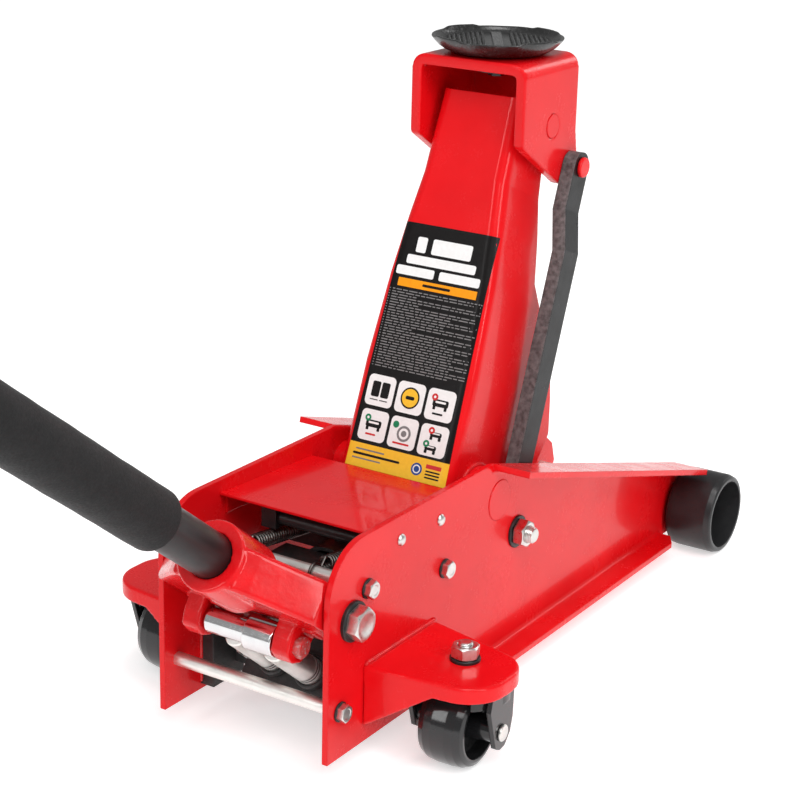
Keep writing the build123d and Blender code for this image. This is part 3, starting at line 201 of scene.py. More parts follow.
def link_material():
    mt, nt, b = new_mat("black_link_steel_painted_highlight")
    v = coords(nt)
    m1 = noise(nt, v, 60.0, 4.0)
    black = mix(nt, ramp(nt, m1, 0.3, 0.7), (0.005, 0.005, 0.006), (0.011, 0.011, 0.011))
    # Painted highlight: the bar's narrow faces, whose normals lie across Y, are coloured light grey in place of the
    # light they catch.
    highlight_grey = mix(nt, ramp(nt, noise(nt, v, 240.0, 5.0), 0.3, 0.7), (0.16, 0.16, 0.16), (0.05, 0.05, 0.05))
    tc = nt.nodes.new("ShaderNodeTexCoord")
    sp = nt.nodes.new("ShaderNodeSeparateXYZ")
    nt.links.new(tc.outputs["Normal"], sp.inputs["Vector"])
    side = add_math(nt, sp.outputs["Y"], 0.0, "ABSOLUTE")
    narrow_face_highlight = ramp(nt, add_math(nt, side, ramp(nt, noise(nt, v, 90.0, 5.0), 0.3, 0.7, -0.25, 0.25)), 0.25, 0.55, 1.0, 0.0)
    nt.links.new(mix(nt, narrow_face_highlight, black, highlight_grey), b.inputs["Base Color"])
    nt.links.new(ramp(nt, m1, 0.3, 0.7, 0.26, 0.44), b.inputs["Roughness"])
    nrm = bump(nt, noise(nt, v, 210.0, 3.0), 1.0, 0.08 * MM, bevel(nt, 1.2 * MM))
    nt.links.new(bump(nt, noise(nt, v, 1300.0, 4.0), 1.0, 0.03 * MM, nrm), b.inputs["Normal"])
    b.inputs["Metallic"].default_value = 0.0
    b.inputs["Specular IOR Level"].default_value = 0.2
    b.inputs["Coat Weight"].default_value = 0.05
    b.inputs["Coat Roughness"].default_value = 0.2
    return mt


link_black = link_material()
tube_black = surface("black_powder_coat_tube", (0.004, 0.004, 0.0045), (0.007, 0.007, 0.0075), rough=(0.30, 0.42), mottle=35.0, grain=1500.0,
                     grain_mm=0.015, bevel_mm=0.6, coat=0.1, coat_rough=0.25, spec=0.3)
cast_black = surface("rough_black_casting", (0.018, 0.018, 0.019), (0.036, 0.035, 0.034), rough=(0.42, 0.62), mottle=90.0, grain=900.0,
                     grain_mm=0.10, big=260.0, big_mm=0.25, bevel_mm=1.4, flecks=((0.09, 0.088, 0.085), 420.0, 0.60, 0.72))
# The grey flecks here are painted highlights, standing in for glints on the saddle's studs.
saddle_black = surface("forged_black_saddle", (0.006, 0.006, 0.006), (0.014, 0.014, 0.014), rough=(0.24, 0.40), mottle=160.0, grain=1500.0,
                       grain_mm=0.05, big=320.0, big_mm=0.12, bevel_mm=0.5, coat=0.25, coat_rough=0.15, flecks=((0.10, 0.10, 0.10), 420.0, 0.60, 0.70))
wheel_black = surface("satin_black_roller", (0.013, 0.013, 0.014), (0.022, 0.022, 0.023), rough=(0.28, 0.42), mottle=40.0, grain=1300.0,
                      grain_mm=0.02, big=180.0, big_mm=0.05, bevel_mm=1.2, coat=0.12, coat_rough=0.15, spec=0.3)
gloss_black = surface("gloss_black_caster", (0.010, 0.010, 0.011), (0.016, 0.016, 0.017), rough=(0.12, 0.22), mottle=40.0, grain=900.0,
                      grain_mm=0.008, big=120.0, big_mm=0.04, bevel_mm=1.6, coat=0.3, coat_rough=0.08, spec=0.35)
washer_black = surface("black_oxide_washer", (0.016, 0.016, 0.017), (0.03, 0.03, 0.03), metal=0.4, rough=(0.34, 0.5), mottle=150.0, grain=2200.0,
                       grain_mm=0.012, bevel_mm=0.4, flecks=((0.10, 0.10, 0.10), 600.0, 0.62, 0.7))
grip_rubber = surface("grip_rubber", (0.014, 0.014, 0.014), (0.022, 0.022, 0.022), rough=(0.5, 0.7), mottle=80.0, grain=1500.0, grain_mm=0.04)


def foam_material():
    mt, nt, b = new_mat("closed_cell_foam")
    v = coords(nt)
    vo = nt.nodes.new("ShaderNodeTexVoronoi")
    vo.inputs["Scale"].default_value = 1500.0
    nt.links.new(v, vo.inputs["Vector"])
    cells = vo.outputs["Distance"]
    soft = noise(nt, v, 240.0, 4.0)
    col = mix(nt, ramp(nt, soft, 0.3, 0.7), (0.0045, 0.0045, 0.005), (0.008, 0.008, 0.0085))
    nt.links.new(col, b.inputs["Base Color"])
    nt.links.new(ramp(nt, noise(nt, v, 600.0, 4.0), 0.3, 0.7, 0.50, 0.66), b.inputs["Roughness"])
    n1 = bump(nt, soft, 1.0, 0.10 * MM)
    nt.links.new(bump(nt, cells, 0.8, 0.11 * MM, n1), b.inputs["Normal"])
    b.inputs["Sheen Weight"].default_value = 0.04
    b.inputs["Specular IOR Level"].default_value = 0.18
    b.inputs["Sheen Roughness"].default_value = 0.5
    return mt


foam = foam_material()
seal_black = surface("seal_rubber", (0.010, 0.010, 0.010), (0.018, 0.018, 0.018), rough=(0.4, 0.55), mottle=200.0, grain=1800.0, grain_mm=0.01)
seal_white = surface("seal_nylon", (0.62, 0.62, 0.60), (0.52, 0.52, 0.50), rough=(0.35, 0.5), mottle=200.0, grain=1800.0, grain_mm=0.01)


def ink(name, ca, cb, rough=(0.28, 0.40)):
    return surface(name, ca, cb, rough=rough, mottle=300.0, grain=2600.0, grain_mm=0.004, coat=0.05, coat_rough=0.15, spec=0.12)


ink_black = ink("decal_black", (0.006, 0.005, 0.005), (0.008, 0.007, 0.007))
ink_white = ink("decal_white", (0.86, 0.86, 0.85), (0.80, 0.80, 0.79))
ink_orange = ink("decal_orange", (0.90, 0.33, 0.006), (0.84, 0.29, 0.006))
ink_yellow = ink("decal_yellow", (0.90, 0.53, 0.035), (0.84, 0.48, 0.03))
ink_grey = ink("decal_grey", (0.23, 0.22, 0.22), (0.17, 0.165, 0.165))
ink_red = ink("decal_red", (0.62, 0.035, 0.035), (0.55, 0.03, 0.03))
ink_green = ink("decal_green", (0.015, 0.23, 0.095), (0.012, 0.19, 0.08))
ink_blue = ink("decal_blue", (0.02, 0.07, 0.28), (0.02, 0.06, 0.24))


# ------------------------------------------------------------------ mesh helpers
def make(name, verts, faces, mats, body, fmat=None, smooth=35.0):
    me = bpy.data.meshes.new(name)
    me.from_pydata([tuple(v) for v in verts], [], faces)
    me.validate()
    for mt in mats:
        me.materials.append(mt)
    if fmat is not None:
        for p, i in zip(me.polygons, fmat):
            p.material_index = i
    bm = bmesh.new()
    bm.from_mesh(me)
    bmesh.ops.recalc_face_normals(bm, faces=bm.faces)
    bm.to_mesh(me)
    bm.free()
    me.shade_smooth()
    me.set_sharp_from_angle(angle=radians(smooth))
    ob = bpy.data.objects.new(name, me)
    bpy.context.scene.collection.objects.link(ob)
    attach(ob, body)
    return ob


def basis(axis):
    a = Vector(axis).normalized()
    t = Vector((0, 0, 1)) if abs(a.z) < 0.9 else Vector((1, 0, 0))
    e1 = t.cross(a).normalized()
    e2 = a.cross(e1)
    return a, e1, e2


class Build:
    """Collects closed shells into one mesh."""

    def __init__(self):
        self.v, self.f, self.mi = [], [], []

    def rings(self, rings, closed=False, cap=True, mi=0):
        """rings: lists of the same number of points; quads between them, fans at the ends."""
        b, n, k = len(self.v), len(rings[0]), len(rings)
        for rg in rings:
            self.v.extend(rg)
        last = k if closed else k - 1
        for i in range(last):
            i2 = (i + 1) % k
            for j in range(n):
                j2 = (j + 1) % n
                self.f.append((b + i * n + j, b + i * n + j2, b + i2 * n + j2, b + i2 * n + j))
                self.mi.append(mi)
        if cap and not closed:
            for i in (0, k - 1):
                self.f.append(tuple(b + i * n + j for j in range(n)))
                self.mi.append(mi)

    def lathe(self, o, axis, prof, n=48, closed=False, mi=0, wobble=None):
        """prof: (radius, height) pairs in metres along axis from o."""
        a, e1, e2 = basis(axis)
        o = Vector(o)
        rings = []
        for r, h in prof:
            rings.append([o + a * h + (e1 * cos(2 * pi * j / n) + e2 * sin(2 * pi * j / n)) * (r if wobble is None else r + wobble(h, 2 * pi * j / n))
                          for j in range(n)])
        self.rings(rings, closed=closed, cap=not closed, mi=mi)

    def hexhead(self, o, axis, rc, h, turn=0.0, both=False, dish=0.0, n=72, mi=0, hole=0.0):
        """A hexagon with chamfered corners, from o up to height h. rc is the corner radius."""
        a, e1, e2 = basis(axis)
        o = Vector(o)
        ap = rc * cos(pi / 6)

        def hexr(t):
            q = (t - turn) % (pi / 3) - pi / 6
            return ap / cos(q)

        flat = 0.93 * ap
        slope = tan(radians(30))

        def ring(fn):
            out = []
            for j in range(n):
                t = 2 * pi * j / n
                r, hh = fn(t)
                out.append(o + a * hh + (e1 * cos(t) + e2 * sin(t)) * r)
            return out

        rings = []
        if hole:
            rings.append(ring(lambda t: (hole, 0)))
        if both:
            rings.append(ring(lambda t: (flat, 0)))
            rings.append(ring(lambda t: (hexr(t), (hexr(t) - flat) * slope)))
        else:
            rings.append(ring(lambda t: (hexr(t), 0)))
        rings.append(ring(lambda t: (hexr(t), h - (hexr(t) - flat) * slope)))
        rings.append(ring(lambda t: (flat, h)))
        if hole:
            rings.append(ring(lambda t: (hole + 0.0006, h)))
            rings.append(ring(lambda t: (hole, h - 0.0006)))
            self.rings(rings, closed=True, mi=mi)
        else:
            if dish:
                rings.append(ring(lambda t: (flat * 0.72, h)))
                rings.append(ring(lambda t: (flat * 0.62, h - dish)))
            self.rings(rings, mi=mi)

    def thread(self, o, axis, r, length, pitch=0.00175, depth=0.0007, n=40, mi=0):
        """A threaded stud from o to o + length, end chamfered; the thread is helical."""
        a, e1, e2 = basis(axis)
        o = Vector(o)
        steps = max(4, int(length / pitch * 6))
        rings = []
        for i in range(steps + 1):
            h = length * i / steps
            rg = []
            for j in range(n):
                t = 2 * pi * j / n
                ph = (h / pitch + j / n) % 1.0
                d = depth * (1 - abs(2 * ph - 1))
                end = max(0.0, h - (length - 0.0012)) * 0.9
                rg.append(o + a * h + (e1 * cos(t) + e2 * sin(t)) * (r - d - end))
            rings.append(rg)
        self.rings(rings, mi=mi)

    def tube(self, pts, r, n=10, mi=0, radii=None):
        """A tube that follows points."""
        pts = [Vector(p) for p in pts]
        k = len(pts)
        rings = []
        prev = None
        for i in range(k):
            t = (pts[min(i + 1, k - 1)] - pts[max(i - 1, 0)]).normalized()
            if prev is None:
                _, e1, _ = basis(t)
            else:
                e1 = (prev - t * prev.dot(t)).normalized()
            prev = e1
            e2 = t.cross(e1)
            rr = r if radii is None else radii[i]
            rings.append([pts[i] + (e1 * cos(2 * pi * j / n) + e2 * sin(2 * pi * j / n)) * rr for j in range(n)])
        self.rings(rings, mi=mi)

    def done(self, name, mats, body, slot, smooth=35.0):
        return make(name, self.v, self.f, mats if isinstance(mats, list) else [mats], body, self.mi, smooth)


def weld(name, path, r, body, mat=red_weld, slot="red_paint", ripple=2.4, seed=1):
    """A painted fillet weld: a flattened bead with overlapping ripples."""
    rnd = random.Random(seed)
    pts, radii = [], []
    path = [Vector(p) for p in path]
    for a, b in zip(path, path[1:]):
        L = (b - a).length
        k = max(2, int(L / 0.0006))
        for i in range(k):
            pts.append(a.lerp(b, i / k))
    pts.append(path[-1])
    s = 0.0
    for i, q in enumerate(pts):
        if i:
            s += (q - pts[i - 1]).length
        ph = (s / (ripple * MM)) % 1.0
        end = min(1.0, (i + 1) / 4, (len(pts) - i) / 4)
        radii.append(r * (0.86 + 0.16 * sqrt(max(0.0, 1 - (2 * ph - 1) ** 2)) + rnd.uniform(-0.02, 0.02)) * (0.35 + 0.65 * end))
    b = Build()
    b.tube(pts, r, n=14, radii=radii)
    return b.done(name, mat, body, slot, smooth=60.0)


def cast(name, node, voxel, smooth_it, mat, body, factor=0.5):
    """A softened copy of a CAD node: remeshed and smoothed, so its edges are rounded like a casting's under thick paint."""
    ob = bpy.data.objects.new(name, N[node].data.copy())
    bpy.context.scene.collection.objects.link(ob)
    md = ob.modifiers.new("r", "REMESH")
    md.mode = "VOXEL"
    md.voxel_size = voxel * MM
    sm = ob.modifiers.new("s", "SMOOTH")
    sm.factor = factor
    sm.iterations = smooth_it
    dg = bpy.context.evaluated_depsgraph_get()
    me = bpy.data.meshes.new_from_object(ob.evaluated_get(dg))
    ob.modifiers.clear()
    ob.data = me
    me.materials.clear()
    me.materials.append(mat)
    me.shade_smooth()
    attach(ob, body)
    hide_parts(node)
    return ob


def paint(node, mat):
    me = N[node].data
    me.materials.clear()
    me.materials.append(mat)


# ------------------------------------------------------------------ carried-over CAD nodes
for n in ("side_plate_right", "side_plate_left", "cover_plate", "lift_arm", "arm_tubes", "arm_lever", "head_pin", "arm_shaft",
          "caster_bracket_right", "caster_bracket_left", "saddle_bracket", "handle_socket"):
    paint(n, red)
for n in ("frame_bolts", "hex_nuts", "cover_rivets", "handle_pivot_bolts", "link_pivot_bolts", "caster_king_bolts", "caster_axle_right",
          "caster_axle_left", "release_valve_stem", "axle_rings", "lever_pin", "plunger_wipers"):
    paint(n, zinc)
paint("cover_stay_rod", black_paint)
for n in ("rear_tie_rod", "spring_anchor_rod", "front_axle"):
    paint(n, satin_rod)
for n in ("pump_plunger_right", "pump_plunger_left"):
    paint(n, satin_rod)
for n in ("pump_roller", "piston_rod", "handle_button"):
    paint(n, chrome)
for n in ("link_bar_right", "link_bar_left"):
    paint(n, link_black)
for n in ("pump_block", "reservoir_tank", "unit_mounts", "ram_cylinder", "crosshead", "filler_plug"):
    paint(n, cast_black)
for n in ("front_wheel_right", "front_wheel_left"):
    paint(n, wheel_black)
for n in ("caster_fork_right", "caster_fork_left", "caster_wheel_right", "caster_wheel_left"):
    paint(n, gloss_black)
for n in ("saddle", "saddle_screw"):
    paint(n, saddle_black)
for n in ("handle_lower_tube", "handle_upper_tube"):
    paint(n, tube_black)
paint("cover_rivets", zinc)
paint("link_pins", red)
paint("roller_bolt", red_dull)
paint("washers", washer_black)
paint("foam_sleeve", foam)
paint("handle_grip", grip_rubber)
paint("return_spring_right", spring_steel)
paint("return_spring_left", spring_steel)

# ------------------------------------------------------------------ castings and pressed brackets with softened edges
cast("socket_casting", "handle_socket", 1.1, 7, red_cast, "socket")
cast("caster_bracket_right_pressing", "caster_bracket_right", 1.0, 7, red, "chassis")
cast("caster_bracket_left_pressing", "caster_bracket_left", 1.0, 7, red, "chassis")
cast("saddle_bracket_pressing", "saddle_bracket", 1.1, 6, red, "head")

# ------------------------------------------------------------------ fasteners
OUT = 80.0
PIVOT, TIE, ANCHOR, UNIT = (30.5, 126.8), (16.0, 57.8), (50.2, 146.0), (159.9, 123.6)
LINK_Q = (275.0, 117.0)
CASTER = (101.0, 136.7)
b = Build()
for d in (1, -1):
    for i, (x, z) in enumerate((TIE, ANCHOR, UNIT)):
        ax = (0, -d, 0)
        b.hexhead(P(x, -d * (OUT + 1.5), z), ax, 7.5 * MM, 5.5 * MM, turn=0.3 + i, dish=0.35 * MM)
        b.lathe(P(x, -d * 59.5, z), ax, [(3.95 * MM, 0), (3.95 * MM, 22.2 * MM)], n=24)
ob = b.done("frame_bolts_detail", zinc, "chassis", "zinc_steel", 25)
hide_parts("frame_bolts")

b = Build()
for d in (1, -1):
    ax = (0, -d, 0)
    b.hexhead(P(PIVOT[0], -d * (OUT + 3), PIVOT[1]), ax, 14 * MM, 10 * MM, turn=0.25, dish=0.5 * MM)
    b.lathe(P(PIVOT[0], -d * 56, PIVOT[1]), ax, [(7.2 * MM, 0), (7.95 * MM, 1 * MM), (7.95 * MM, (OUT + 3.2 - 56) * MM)], n=40)
ob = b.done("handle_pivot_bolts_detail", zinc, "chassis", "zinc_steel", 25)
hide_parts("handle_pivot_bolts")

b = Build()
for d in (1, -1):
    b.hexhead(P(LINK_Q[0], -d * (OUT + 2), LINK_Q[1]), (0, -d, 0), 12.1 * MM, 10 * MM, turn=0.52, both=True, hole=7.05 * MM)
    b.hexhead(P(CASTER[0], d * CASTER[1], 86.2), (0, 0, 1), 11.5 * MM, 10 * MM, turn=0.17 * d, both=True, hole=6.05 * MM)
ob = b.done("hex_nuts_detail", zinc, "chassis", "zinc_steel", 25)
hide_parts("hex_nuts")

b = Build()
for d in (1, -1):
    ax = (0, -d, 0)
    b.thread(P(LINK_Q[0], -d * 86, LINK_Q[1]), ax, 6.98 * MM, 12 * MM, pitch=1.5 * MM)
    b.lathe(P(LINK_Q[0], -d * 61.5, LINK_Q[1]), ax, [(6.95 * MM, 0), (6.95 * MM, 25 * MM)], n=40)
    b.lathe(P(LINK_Q[0], -d * 56, LINK_Q[1]), ax, [(9.6 * MM, 0), (11 * MM, 1.3 * MM), (11 * MM, 5.9 * MM), (6 * MM, 5.95 * MM)], n=40)
ob = b.done("link_pivot_bolts_detail", zinc, "chassis", "zinc_steel", 30)
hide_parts("link_pivot_bolts")

b = Build()
for d in (1, -1):
    c = P(CASTER[0], d * CASTER[1], 0)
    b.thread(c + Vector((0, 0, 88 * MM)), (0, 0, 1), 5.98 * MM, 10.7 * MM, pitch=1.5 * MM)
    b.lathe(c + Vector((0, 0, 75.5 * MM)), (0, 0, 1), [(5.95 * MM, 0), (5.95 * MM, 13 * MM)], n=32)
    b.lathe(c + Vector((0, 0, 72.6 * MM)), (0, 0, 1), [(8.6 * MM, 0), (10 * MM, 1.2 * MM), (10 * MM, 3.6 * MM), (5 * MM, 3.65 * MM)], n=40)
ob = b.done("caster_king_bolts_detail", zinc, "chassis", "zinc_steel", 30)
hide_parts("caster_king_bolts")

b = Build()
for d in (1, -1):
    for (x, z), ri, ro, t in ((TIE, 4.0, 8.0, 1.5), (ANCHOR, 4.0, 8.0, 1.5), (UNIT, 4.0, 8.0, 1.5), (PIVOT, 8.0, 16.0, 3.0), (LINK_Q, 7.0, 14.0, 2.0)):
        e = min(0.5, t * 0.3)
        b.lathe(P(x, -d * OUT, z), (0, -d, 0), [(ri * MM, 0), (ro * MM, 0), (ro * MM, (t - e) * MM), ((ro - e) * MM, t * MM), ((ri + e) * MM, t * MM), (ri * MM, (t - e) * MM)],
                n=56, closed=True)
    b.lathe(P(CASTER[0], d * CASTER[1], 83.7), (0, 0, 1), [(6.05 * MM, 0), (12 * MM, 0), (12 * MM, 2 * MM), (11.5 * MM, 2.5 * MM), (6.5 * MM, 2.5 * MM), (6.05 * MM, 2 * MM)],
            n=56, closed=True)
ob = b.done("washers_detail", washer_black, "chassis", "black_steel", 25)
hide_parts("washers")

b = Build()
for d in (1, -1):
    for x, z in ((95.1, 170.0), (152.1, 167.5)):
        dome = [(2.45 * MM, -7 * MM), (2.45 * MM, 0.05 * MM), (4.9 * MM, 0.05 * MM)]
        dome += [(4.9 * cos(t) * MM, 2.9 * sin(t) * MM + 0.05 * MM) for t in [radians(q) for q in range(8, 89, 9)]]
        b.lathe(P(x, -d * OUT, z), (0, -d, 0), dome, n=32)
ob = b.done("cover_rivets_detail", zinc, "chassis", "zinc_steel", 50)
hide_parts("cover_rivets")

# roller bolt: hex head under red overspray
HD = radians(37.6)
HAND = Vector((-cos(HD), 0, sin(HD)))
HUP = Vector((sin(HD), 0, cos(HD)))


def hp(t, o, y=0.0):
    """A point in the handle's axes: t along it from the pivot, o square to it."""
    return P(PIVOT[0], y, PIVOT[1]) + HAND * (t * MM) + HUP * (o * MM)


ROLL_C = hp(9.2, -31.45)
b = Build()
b.lathe(ROLL_C + Vector((0, 53 * MM, 0)), (0, -1, 0), [(4.2 * MM, 0), (4.95 * MM, 1 * MM), (4.95 * MM, 103.5 * MM)], n=32)
b.hexhead(ROLL_C + Vector((0, -50 * MM, 0)), (0, -1, 0), 8.5 * MM, 6 * MM, turn=0.1, dish=0.4 * MM)
b.lathe(ROLL_C + Vector((0, 53 * MM, 0)), (0, -1, 0), [(5 * MM, 0), (7.6 * MM, 0), (8 * MM, 0.4 * MM), (8 * MM, 2.6 * MM), (7.6 * MM, 3 * MM), (5 * MM, 3 * MM)], n=40, closed=True)
ob = b.done("roller_bolt_detail", red_dull, "socket", "zinc_steel", 25)
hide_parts("roller_bolt")

# ------------------------------------------------------------------ return springs
LEVER_PIN = (244 + 46 * sin(radians(43.25)), 155 - 46 * cos(radians(43.25)))
S0 = Vector((ANCHOR[0] + 2, 0, ANCHOR[1] + 4))
S1 = Vector((LEVER_PIN[0] - 36, 0, 126.5))
SL = (S1 - S0).length
SU = (S1 - S0).normalized()
SV = Vector((-SU.z, 0, SU.x))
for side, y in (("right", -31.4), ("left", 38.0)):
    pts = []
    wire, mean = 1.35, 5.5
    c0 = Vector((ANCHOR[0], y, ANCHOR[1]))
    # hook round the anchor rod
    for q in range(0, 19):
        t = radians(215 - q * 17)
        pts.append(P(c0.x + 7.5 * cos(t), y, c0.z + 7.5 * sin(t)))
    turns, k = 52, 14
    a0, a1 = 12.0, SL - 9.0
    for q in range(turns * k + 1):
        h = a0 + (a1 - a0) * q / (turns * k)
        t = 2 * pi * q / k
        c = S0 + SU * h + SV * (mean * cos(t))
        pts.append(P(c.x, y + mean * sin(t), c.z))
    e = S0 + SU * (SL - 5)
    pts.append(P(e.x, y, e.z + 1))
    pts.append(P(e.x + 5, y, e.z + 0.5))
    pts.append(P(e.x + 10, y, e.z))
    b = Build()
    b.tube(pts, wire * MM, n=8)
    ob = b.done("return_spring_%s_coil" % side, spring_steel, "chassis", "spring_steel", 70)
    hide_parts("return_spring_" + side)
    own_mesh(ob)

# ------------------------------------------------------------------ handle
b = Build()
prof, L0, L1, R = [], 165.2, 500.2, 23.4
prof.append((17.72 * MM, L0 * MM))
for q in range(0, 91, 10):
    prof.append(((R - 4 + 4 * sin(radians(q))) * MM, (L0 + 4 - 4 * cos(radians(q))) * MM))
for i in range(1, 90):
    prof.append((R * MM, (L0 + 4 + (L1 - L0 - 8) * i / 90) * MM))
for q in range(90, 181, 10):
    prof.append(((R - 4 + 4 * sin(radians(q))) * MM, (L1 - 4 - 4 * cos(radians(q))) * MM))
prof.append((17.72 * MM, L1 * MM))


def foam_wobble(h, t):
    if abs(h - L0 * MM) < 1e-6 or abs(h - L1 * MM) < 1e-6:
        return 0.0
    return (0.10 * sin(h * 61 + 2 * t) + 0.08 * sin(h * 143 - 3 * t) + 0.05 * sin(h * 260 + 5 * t)) * MM - 0.2 * MM


b.lathe(hp(0, 3), HAND, prof, n=96, closed=True, wobble=foam_wobble)
ob = b.done("foam_sleeve_soft", foam, "handle", "black_foam", 60)
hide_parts("foam_sleeve")

b = Build()
prof = [(17.75 * MM, 1010 * MM), (20.2 * MM, 1010 * MM), (21 * MM, 1011 * MM), (21 * MM, 1018 * MM)]
for i in range(14):
    h = 1019 + i * 7.4
    prof += [(20.9 * MM, h * MM), (19.6 * MM, (h + 0.8) * MM), (19.6 * MM, (h + 2.2) * MM), (20.9 * MM, (h + 3.0) * MM), (21.0 * MM, (h + 5) * MM)]
prof += [(21 * MM, 1134 * MM)] + [((17 + 4 * cos(radians(q))) * MM, (1136 + 4 * sin(radians(q))) * MM) for q in range(0, 91, 15)]
prof += [(12 * MM, 1140 * MM), (0.5 * MM, 1140 * MM), (0.5 * MM, 1134 * MM), (17.75 * MM, 1134 * MM)]
b.lathe(hp(0, 3), HAND, prof, n=72, closed=True)
ob = b.done("handle_grip_ribbed", grip_rubber, "handle", "black_rubber", 40)
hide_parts("handle_grip")

# ------------------------------------------------------------------ saddle: forged dish, four raised lugs, studs either side of a ribbed bar
SAD = P(349.8, 0, 0)
BAR = radians(32.6)      # the ribbed bar's direction
LUG = radians(-22.4)     # middle of the first lug
BX, BY = Vector((cos(BAR), sin(BAR), 0)), Vector((-sin(BAR), cos(BAR), 0))


def lug_up(t):
    q = (t - LUG + pi / 4) % (pi / 2) - pi / 4
    e = (radians(20) - abs(q)) / radians(6)
    return max(0.0, min(1.0, e))


b = Build()
n = 240
prof = [(10, 500.55), (33, 500.55), (38, 501.0), (44, 503.4), (49, 506.8), (52.6, 510.4), (54.3, 512.6), (54.9, 513.6), (54.7, 514.2), (53.8, 514.5), (52.6, 514.4),
        (51.6, 513.7), (50.4, 512.2), (48.4, 510.4), (46.0, 509.7), (42.0, 509.5), (20.0, 509.5), (0.6, 509.5)]
rings = []
for i, (r, z) in enumerate(prof):
    rg = []
    for j in range(n):
        t = 2 * pi * j / n
        up = lug_up(t)
        dz = (1.5 if 6 <= i <= 11 else 0.0) * up
        dr = (0.35 if 7 <= i <= 9 else 0.0) * up
        und = 0.12 * sin(5 * t + 1) + 0.08 * sin(11 * t)
        rg.append(SAD + Vector(((r - dr) * cos(t) * MM, (r - dr) * sin(t) * MM, (z + dz + (und if 3 <= i <= 11 else 0.0) - (0.15 if 6 <= i <= 11 else 0.0)) * MM)))
    rings.append(rg)
b.rings(rings)


def stud(c, w, h, k=8):
    rg = []
    for q in (0.0, 0.35, 0.7, 0.92, 1.0):
        rr = w * sqrt(max(0.02, 1 - q * q))
        rg.append([c + Vector((rr * cos(2 * pi * i / k), rr * sin(2 * pi * i / k), h * q)) for i in range(k)])
    b.rings(rg)


pitch = 4.4
for i in range(-12, 13):
    for j in range(-12, 13):
        u, v = (i + 0.5 * (j % 2)) * pitch, j * pitch * 0.92
        if sqrt(u * u + v * v) > 44.6 or abs(v) < 10.5:
            continue
        c = SAD + BX * (u * MM) + BY * ((v + random.uniform(-0.25, 0.25)) * MM) + Vector((0, 0, 509.3 * MM))
        stud(c, (1.75 + random.uniform(-0.12, 0.12)) * MM, (1.9 + random.uniform(-0.2, 0.15)) * MM)
for i in range(-20, 21):
    u = i * 2.1
    if abs(u) > 43:
        continue
    rg = []
    for hh, g in ((0.0, 1.0), (1.1, 0.9), (1.5, 0.45)):
        rg.append([SAD + BX * ((u + g * 0.75 * a_) * MM) + BY * ((4.6 - (1 - g)) * c_ * MM) + Vector((0, 0, (509.35 + hh) * MM)) for a_, c_ in ((1, 1), (-1, 1), (-1, -1), (1, -1))])
    b.rings(rg)
ob = b.done("saddle_forging", saddle_black, "saddle", "black_casting", 40)
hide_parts("saddle")

# ------------------------------------------------------------------ decal on the arm
ARM = radians(67.94)
AE = Vector((cos(ARM), 0, sin(ARM)))
AN = Vector((-sin(ARM), 0, cos(ARM)))
AP = P(244.0, 0, 155.0)
STN = ((-40, 54.3), (90, 54.2), (165, 50.4), (215, 45.4), (252, 40.6), (330, 38.6))
ARM_FILLET = 10.0


def arm_half(s):
    for (s0, w0), (s1, w1) in zip(STN, STN[1:]):
        if s <= s1:
            return w0 + (w1 - w0) * (s - s0) / (s1 - s0)
    return STN[-1][1]


def on_arm(s, y, lift):
    """A point on the arm's upper face at s along it and y across, lifted off it; it follows the rounded corner."""
    flat = arm_half(s) - ARM_FILLET
    over = min(max(0.0, abs(y) - flat), ARM_FILLET * 0.9)
    n = 42 - (ARM_FILLET - sqrt(ARM_FILLET ** 2 - over ** 2)) + lift
    return AP + AE * (s * MM) + AN * (n * MM) + Vector((0, y * MM, 0))


LAB_MATS = [ink_black, ink_white, ink_orange, ink_yellow, ink_grey, ink_red, ink_green, ink_blue]
BLACK, WHITE, ORANGE, YELLOW, GREY, REDI, GREEN, BLUE = range(8)
decal = Build()


def patch(outline, lift, mi, thick=0.05):
    """A flat polygon of the decal with a little thickness. outline: (s, y) points."""
    base = len(decal.v)
    n = len(outline)
    for l in (lift - thick, lift):
        for s, y in outline:
            decal.v.append(on_arm(s, y, l))
    decal.f.append(tuple(base + n + i for i in range(n)))
    decal.mi.append(mi)
    for i in range(n):
        j = (i + 1) % n
        decal.f.append((base + i, base + j, base + n + j, base + n + i))
        decal.mi.append(mi)


def quad_strip(s0, s1, hw0, hw1, cy, lift, mi, thick=0.08):
    """A full-width band that wraps the arm's rounded corners."""
    ks, ky = max(1, int((s1 - s0) / 6)), 40
    base = len(decal.v)
    for layer in (lift - thick, lift):
        for i in range(ks + 1):
            s = s0 + (s1 - s0) * i / ks
            hw = hw0 + (hw1 - hw0) * i / ks
            for j in range(ky + 1):
                decal.v.append(on_arm(s, cy + hw * (2 * j / ky - 1), layer))
    m_ = (ks + 1) * (ky + 1)

    def ix(l, i, j):
        return base + l * m_ + i * (ky + 1) + j

    for i in range(ks):
        for j in range(ky):
            decal.f.append((ix(1, i, j), ix(1, i, j + 1), ix(1, i + 1, j + 1), ix(1, i + 1, j)))
            decal.f.append((ix(0, i, j), ix(0, i + 1, j), ix(0, i + 1, j + 1), ix(0, i, j + 1)))
            decal.mi += [mi, mi]
    for i in range(ks):
        for j in (0, ky):
            decal.f.append((ix(0, i, j), ix(0, i + 1, j), ix(1, i + 1, j), ix(1, i, j)))
            decal.mi.append(mi)
    for j in range(ky):
        for i in (0, ks):
            decal.f.append((ix(0, i, j), ix(1, i, j), ix(1, i, j + 1), ix(0, i, j + 1)))
            decal.mi.append(mi)


